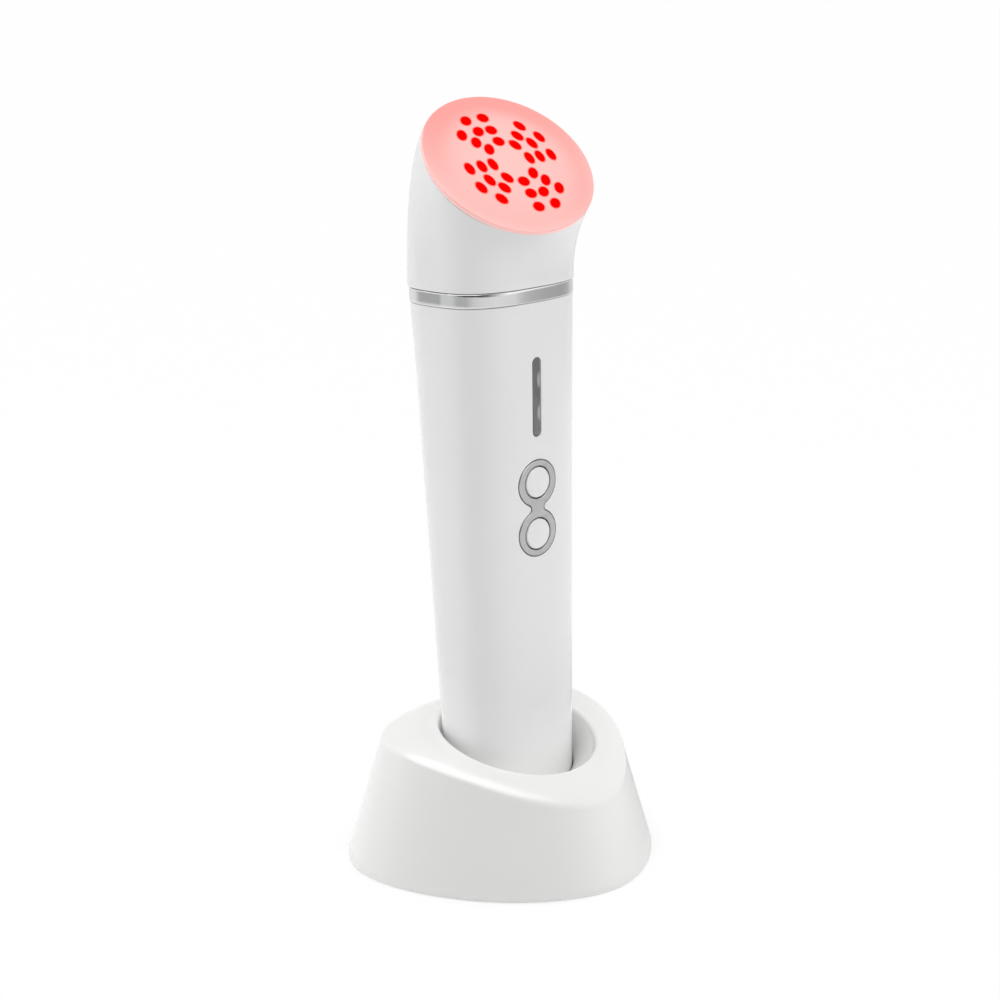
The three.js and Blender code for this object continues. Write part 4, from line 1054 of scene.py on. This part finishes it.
# %% [markdown]
# The stand's top and well
#
# The wall rolls over a soft crease into a slightly bulged top, and the top rolls over the lip into
# the well. Just inside the lip the well is a funnel, about 9.5 mm deep, that narrows from the lip's
# circle to the handset's oval. Below it the walls follow the handset down. The same curve with a
# pulled corner that rounded the small edges rounds the crease, only wider.

# %% Roll the top over the crease and the lip
crease_round, crease_soft, top_bulge, lip_round = 1.2, 6.0, 0.75, 1.3
crease, lip_outer = crease_ring(), lip_ring(lip_round)
toward_lip = lip_outer - crease
soft_share = (crease_soft / np.linalg.norm(toward_lip, axis=1))[:, None]


def top_ring(share):
    return crease + toward_lip * share + [0, 0, 1] * (top_bulge * 4 * share * (1 - share))


crease_turn = rounded_edge(
    wall_ring(crease[:, 2] - crease_round),
    crease + [0, 0, 1] * (top_bulge * 4 * soft_share**2),
    top_ring(soft_share),
    14,
)
top_rings = [
    top_ring(soft_share + (1 - soft_share) * step) for step in np.linspace(0, 1, 10)[1:]]
lip_turn = rounded_edge(
    lip_outer, lip_ring(lip_round * 0.1, lip_round * 0.05), lip_ring(0, lip_round), 6)
print("top drawn in", len(crease_turn + top_rings + lip_turn), "rings")

# %% Sink the well
funnel_depth, socket_gap = 9.5, 0.55
socket_rows = [(socket_gap, -1), (5.55, -1), (5.55, 1.5), (2.75, 4)]


def mixed(first, second, share):
    return first * (1 - share) + second * share


well_top = lip_ring(0, lip_round)
well_low, well_high = (socket_ring(socket_gap, height) for height in (4, 44))
neck_share = (well_top[:, 2] - funnel_depth - well_low[:, 2]) / (well_high[:, 2] - well_low[:, 2])
well_neck = well_low + (well_high - well_low) * neck_share[:, None]
well_rings = [mixed(well_top, well_neck, share) for share in np.linspace(0, 1, 9)[1:]]
well_rings += [mixed(well_neck, well_low, share) for share in (0.02, 0.35, 0.7, 1)]
well_rings += [socket_ring(margin, height) for margin, height in socket_rows]
print("well sunk in", len(well_rings), "rings")

# %% Close the stand's shell
shell_low, shell_round, shell_wall = 0.3, 0.4, 2.4
shell_start = shell_low + shell_round
shell_foot = rounded_edge(
    wall_ring(shell_low, shell_round), wall_ring(shell_low, 0.1), wall_ring(shell_start), 4)
wall_rise = crease[:, 2] - crease_round - shell_start
inside = [
    lip_ring(shell_wall, lip_round + shell_wall), crease_ring(3.7) - [0, 0, shell_wall],
    wall_ring(crease[:, 2] - 5.2, shell_wall), wall_ring(shell_low, shell_wall),
]
stand = skin(
    "stand_body",
    shell_foot
    + [wall_ring(shell_start + wall_rise * share) for share in np.linspace(0, 1, 14)[1:-1]]
    + crease_turn
    + top_rings
    + lip_turn[1:]
    + well_rings
    + inside,
    tube=True,
)

# %% Open the stand's back for the power inlet
inlet_z, inlet_width, inlet_height, inlet_play = 7.1, 8.9, 3.2, 0.6
cut_start, cut_depth = 24, 16
inlet_frame = Matrix.Translation((0, cut_start, inlet_z)) @ Matrix.Rotation(-math.pi / 2, 4, "X")
inlet_outline = long_slot(inlet_height + inlet_play, inlet_width + inlet_play)[:, ::-1] * [1, -1]
inlet_rings = [flat_ring(inlet_outline, level) for level in (0, cut_depth)]
cut_out(stand, skin("cutter", inlet_rings, inlet_frame))
dress(stand, stand_white, "stand", ["stand_shell"])

# %% [markdown]
# Base plate, cap and charging parts
#
# Set into the stand's underside is a thin plate of the same plastic, and the handset ends in a cap
# with two gold pads that meet two sprung pins. These show when the handset is lifted or the stand is
# turned over. The solids already have the right forms, so the plain turned ones keep their shape and
# only get a finish. The plate and the cap are drawn again with finer outlines, then cut for feet and
# screws.

# %% Draw the base plate
plate_reach = foot_outline[0]
foot_spots = [(-0.455, -0.655), (0.455, -0.655), (-0.44, 0.55), (0.44, 0.55)]
post_spots = [(-0.2585, -0.834), (0.2585, -0.834), (-0.5875, 0.4), (0.5875, 0.4)]
foot_holes, post_holes = [(4.8, 0, 1.4)], [(2.0, 0, 1.7), (1.15, 1, 3)]  # radius, low, high
plate_edges = (  # height and inset of each edge's start, corner and end
    ((0.6, 3.0), (0.6, 2.7), (0.9, 2.7)),
    ((2.2, 2.7), (2.4, 2.7), (2.4, 2.9)),
)
plate = skin("base_plate_skin", [
    ring for edge in plate_edges for ring in rounded_edge(*(wall_ring(*row) for row in edge), 3)])
cut_out(plate, *[
    plug(x * plate_reach, y * plate_reach, *hole)
    for spots, holes in ((foot_spots, foot_holes), (post_spots, post_holes))
    for x, y in spots
    for hole in holes
])
dress(plate, stand_white, "stand", ["base_plate"])

# %% Draw the bottom cap
cap_rows = [  # inset and height
    (1.0, 0), (0.62, 0.07), (0.29, 0.29), (0.07, 0.62), (0, 1.0), (0, 1.4), (0.1, 1.5),
    (2.3, 1.5), (2.3, 7), (3.7, 7), (3.7, 3.6),
]
pad_holes, screw_holes = [(2.4, -1, 2.4), (1.1, 2, 4.6)], [(2.0, -1, 1.6), (1.15, 1, 4.6)]
cap_spots = ((-4.5, pad_holes), (4.5, pad_holes), (-11.5, screw_holes), (11.5, screw_holes))
cap = skin(
    "foot_cap", [barrel_ring(0, inset, height) for inset, height in cap_rows], handset_frame)
cut_out(cap, *[plug(x, 0, *hole, handset_frame) for x, holes in cap_spots for hole in holes])
dress(cap, handset_white, "handset", ["bottom_cap"])

# %% [markdown]
# Finishes for the parts inside
#
# The solids inside keep their own shapes: motor, battery, boards, screws, pins and seals. Each gets
# the finish of what it is, so that an opened or lifted view looks as made as the outside. They share
# the same helpers: brushed metal stretches its noise along one axis, and rubber gets a coarse grain.

# %% Mix the inner finishes
def metal(name, dark, light, gloss, stretch=(1, 1, 1)):
    finish = new_finish(name, light, gloss, 1.0)
    drifting_tone(finish, dark, light, 300, stretch)
    uneven_gloss(finish, gloss * 0.8, gloss * 1.25, 900, stretch)
    fine_grain(finish, 2500, 0.00001, 0.2, stretch)
    return finish


def matt(name, dark, light, gloss, scale=300, grain=1500, depth=0.00003):
    finish = new_finish(name, light, gloss)
    drifting_tone(finish, dark, light, scale)
    uneven_gloss(finish, gloss * 0.85, min(gloss * 1.15, 1), 400)
    fine_grain(finish, grain, depth, 0.35)
    return finish


inner_finishes = [
    (metal("screw_steel", (0.42, 0.43, 0.44), (0.56, 0.57, 0.58), 0.32),
     ["screw", "vibration_motor", "motor_weight", "power_inlet"]),
    (metal("drawn_aluminium", (0.58, 0.59, 0.61), (0.72, 0.73, 0.75), 0.35, (1, 12, 1)),
     ["heat_sink"]),
    (metal("contact_gold", (0.78, 0.55, 0.22), (0.90, 0.67, 0.30), 0.2),
     ["charge_pad", "charge_pin", "pin_barrel"]),
    (matt("seal_rubber", (0.055, 0.056, 0.058), (0.085, 0.086, 0.09), 0.75, grain=1200),
     ["rubber_foot", "neck_seal", "lens_seal"]),
    (matt("frame_plastic", (0.022, 0.024, 0.027), (0.034, 0.036, 0.04), 0.5),
     ["inner_frame", "switch"]),
    (matt("board_green", (0.012, 0.085, 0.038), (0.02, 0.13, 0.06), 0.35, 700, 3000, 0.00001),
     ["main_board", "charging_board"]),
    (matt("cell_wrap", (0.04, 0.13, 0.36), (0.055, 0.17, 0.44), 0.3, 80, 900, 0.00001),
     ["battery"]),
    (matt("module_ceramic", (0.74, 0.73, 0.70), (0.82, 0.81, 0.78), 0.6),
     ["thermoelectric_module", "indicator_lamp"]),
    (matt("light_board_white", (0.78, 0.76, 0.75), (0.86, 0.84, 0.83), 0.4), ["led_board"]),
    (matt("cable_sheath", (0.02, 0.02, 0.022), (0.035, 0.035, 0.038), 0.45),
     ["battery_cable", "head_cable"]),
    (stand_white, ["contact_block"]),
]
finish_of = {word: finish for finish, words in inner_finishes for word in words}
print("inner finishes:", len(inner_finishes))

# %% Dress the solids that keep their shape
longest_first = sorted(finish_of, key=len, reverse=True)
for node_name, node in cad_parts.items():
    if node_name in redrawn:
        continue
    word = "screw" if "screw" in node_name else next(
        word for word in longest_first if word in node_name)
    if not node.data.materials:
        node.data.materials.append(finish_of[word])
    for index in range(len(node.data.materials)):
        node.data.materials[index] = finish_of[word]
print("dressed", len(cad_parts) - len(redrawn), "solids")

# %% [markdown]
# The floor
#
# The floor is plain white paper. A white paper lit by lamps would need a lot of light, which would
# wash out the object. So the paper glows white only for what looks at it directly: the camera, a
# mirror or a pane. For the light that falls on the object it stays plain paper, and it still takes a
# trace of the object's shadow, most of all close round the foot.
#
# In a photo studio grey cards stand round a glossy object, out of the picture, and draw the soft
# darker bands in its gloss. Here they are painted on the far floor and seen by mirrors only, each
# at its own bearing round the object. One more card lies near the stand, on its right.

# %% Lay the floor
floor_mesh = bpy.data.meshes.new("floor")
floor_mesh.from_pydata([(-3, -3, 0), (3, -3, 0), (3, 3, 0), (-3, 3, 0)], [], [(0, 1, 2, 3)])
floor = new_object("floor", floor_mesh)
paper = new_finish("white_paper", (0.9, 0.9, 0.9), 0.9, Specular_IOR_Level=0.0)
floor_mesh.materials.append(paper)
on_floor = add_node(paper, "TexCoord").outputs["Object"]
from_stand = maths(paper, "LENGTH", on_floor, kind="VectorMath")
ray = add_node(paper, "LightPath").outputs
print("floor laid")

# %% Put grey cards where only mirrors see them
cards_start, cards_full = 0.5, 0.68
card_tones = [
    (-90, 0.86), (-62, 0.80), (-55, 0.62), (-46, 0.46), (-25, 0.42), (-8, 0.5), (6, 0.72),
    (60, 0.85), (105, 0.9), (120, 0.46), (139, 0.46), (143, 0.7), (164, 0.7), (178, 0.5),
    (-159, 0.5), (-140, 0.70), (-120, 0.78),
]
toward_right, near_card_level = (0.743, -0.669, 0), 0.5

floor_place = add_node(paper, "SeparateXYZ", Vector=on_floor).outputs
bearing = maths(paper, "ARCTAN2", floor_place["Y"], floor_place["X"])
cards = tone_ramp(
    paper,
    between(paper, bearing, -math.pi, math.pi),
    [((degrees + 180) / 360, [level] * 3) for degrees, level in sorted(card_tones)],
)
far_off = between(paper, from_stand, cards_start, cards_full)
far_in_mirror = maths(paper, "MULTIPLY", ray["Is Glossy Ray"], far_off)
card_or_white = blended(paper, far_in_mirror, (1, 1, 1), cards)
rightward = maths(paper, "DOT_PRODUCT", on_floor, toward_right, kind="VectorMath")
near_card = ray["Is Glossy Ray"]
for place, start, end in ((rightward, 0.015, 0.05), (from_stand, 0.19, 0.13)):
    near_card = maths(paper, "MULTIPLY", near_card, between(paper, place, start, end))
glow_strength = between(paper, near_card, 0.0, 1.0, 1.0, near_card_level)
glow = add_node(paper, "Emission", Color=card_or_white, Strength=glow_strength)
print("cards:", len(card_tones), "tones round the object and one near it")

# %% Let the camera see white paper
paper_glow, foot_shade, shade_start, shade_end = 0.97, 0.3, 0.038, 0.047


def show(owner, output, share, lighting, shown):
    """Mixes what gives light with what is shown, and joins the mix to the owner's output."""
    mixer = add_node(owner, "MixShader")
    for socket, source in zip(mixer.inputs, (share, lighting, shown)):
        feed(owner, source, socket)
    feed(owner, mixer.outputs["Shader"], owner.node_tree.nodes[output].inputs["Surface"])


seen = ray["Is Camera Ray"]
for kind in ("Is Glossy Ray", "Is Transmission Ray"):
    seen = maths(paper, "MAXIMUM", seen, ray[kind])
seen = maths(paper, "MULTIPLY", seen, paper_glow)
near_foot = between(paper, from_stand, shade_start, shade_end, foot_shade, 1.0)
paper_shader = paper.node_tree.nodes["Principled BSDF"]
show(paper, "Material Output", maths(paper, "MULTIPLY", seen, near_foot),
     paper_shader.outputs["BSDF"], glow.outputs["Emission"])
print("paper glows at", paper_glow, "where it is seen directly")

# %% [markdown]
# The sky
#
# The photograph was taken in a white light tent: the object is lit from all sides, but least from
# the side of the camera. A ring of lamps could copy that, but a soft gradient across the sky does
# it without hard spots. The camera sees that sky as plain white.

# %% Grade the sky
tent_axis, tent_strength = (-0.83, -0.55, 0.1), 1.18
tent_stops = [
    (0.0, 0.68), (0.25, 0.74), (0.45, 1.0), (0.62, 0.97), (0.78, 0.46), (0.9, 0.13), (1.0, 0.05),
]
sky = bpy.data.worlds.new("light_tent")
bpy.context.scene.world = sky
sky.use_nodes = True
heading_in = add_node(sky, "TexCoord").outputs["Generated"]
facing = maths(sky, "DOT_PRODUCT", heading_in, tent_axis, kind="VectorMath")
tent = tone_ramp(
    sky, between(sky, facing, -1.0, 1.0), [(at, [level] * 3) for at, level in tent_stops])
backdrop = sky.node_tree.nodes["Background"]
fill_in(sky, backdrop, {"Color": tent, "Strength": tent_strength})
white_view = add_node(sky, "Background", Color=(1, 1, 1), Strength=1.0)
show(sky, "World Output", add_node(sky, "LightPath").outputs["Is Camera Ray"],
     backdrop.outputs["Background"], white_view.outputs["Background"])
print("sky graded in", len(tent_stops), "steps")

# %% [markdown]
# The lamps
#
# Three weak soft boxes shape the form from the top, the right and the left. They would show as hard
# squares in the gloss, so mirrors don't see them. A fourth, wide one does the opposite: it is seen
# only in the gloss, where it draws the broad shine on the head and on the stand's top.

# %% Set the lamps
def soft_lamp(name, spot, aim, size, power, mirrored=False):
    lamp_data = bpy.data.lights.new(name, "AREA")
    lamp_data.shape = "RECTANGLE"
    lamp_data.size, lamp_data.size_y = size
    lamp_data.energy = power
    lamp = new_object(name, lamp_data)
    lamp.location = spot
    lamp.rotation_euler = (Vector(spot) - Vector(aim)).to_track_quat("Z", "Y").to_euler()
    lamp.visible_glossy = mirrored
    lamp.visible_diffuse = not mirrored
    print(name, power, "W")


soft_lamp("top_softbox", (-0.26, -0.18, 0.72), (0, 0, 0.05), (0.5, 0.3), 1.5)
soft_lamp("right_softbox", (0.42, -0.60, 0.23), (0, 0, 0.1), (0.4, 0.3), 0.46)
soft_lamp("left_softbox", (-0.52, 0.52, 0.23), (0, 0, 0.1), (0.4, 0.3), 0.8)
soft_lamp("shine_softbox", (-0.25, -0.03, 0.74), (0, 0, 0.03), (1.0, 0.8), 8.0, mirrored=True)
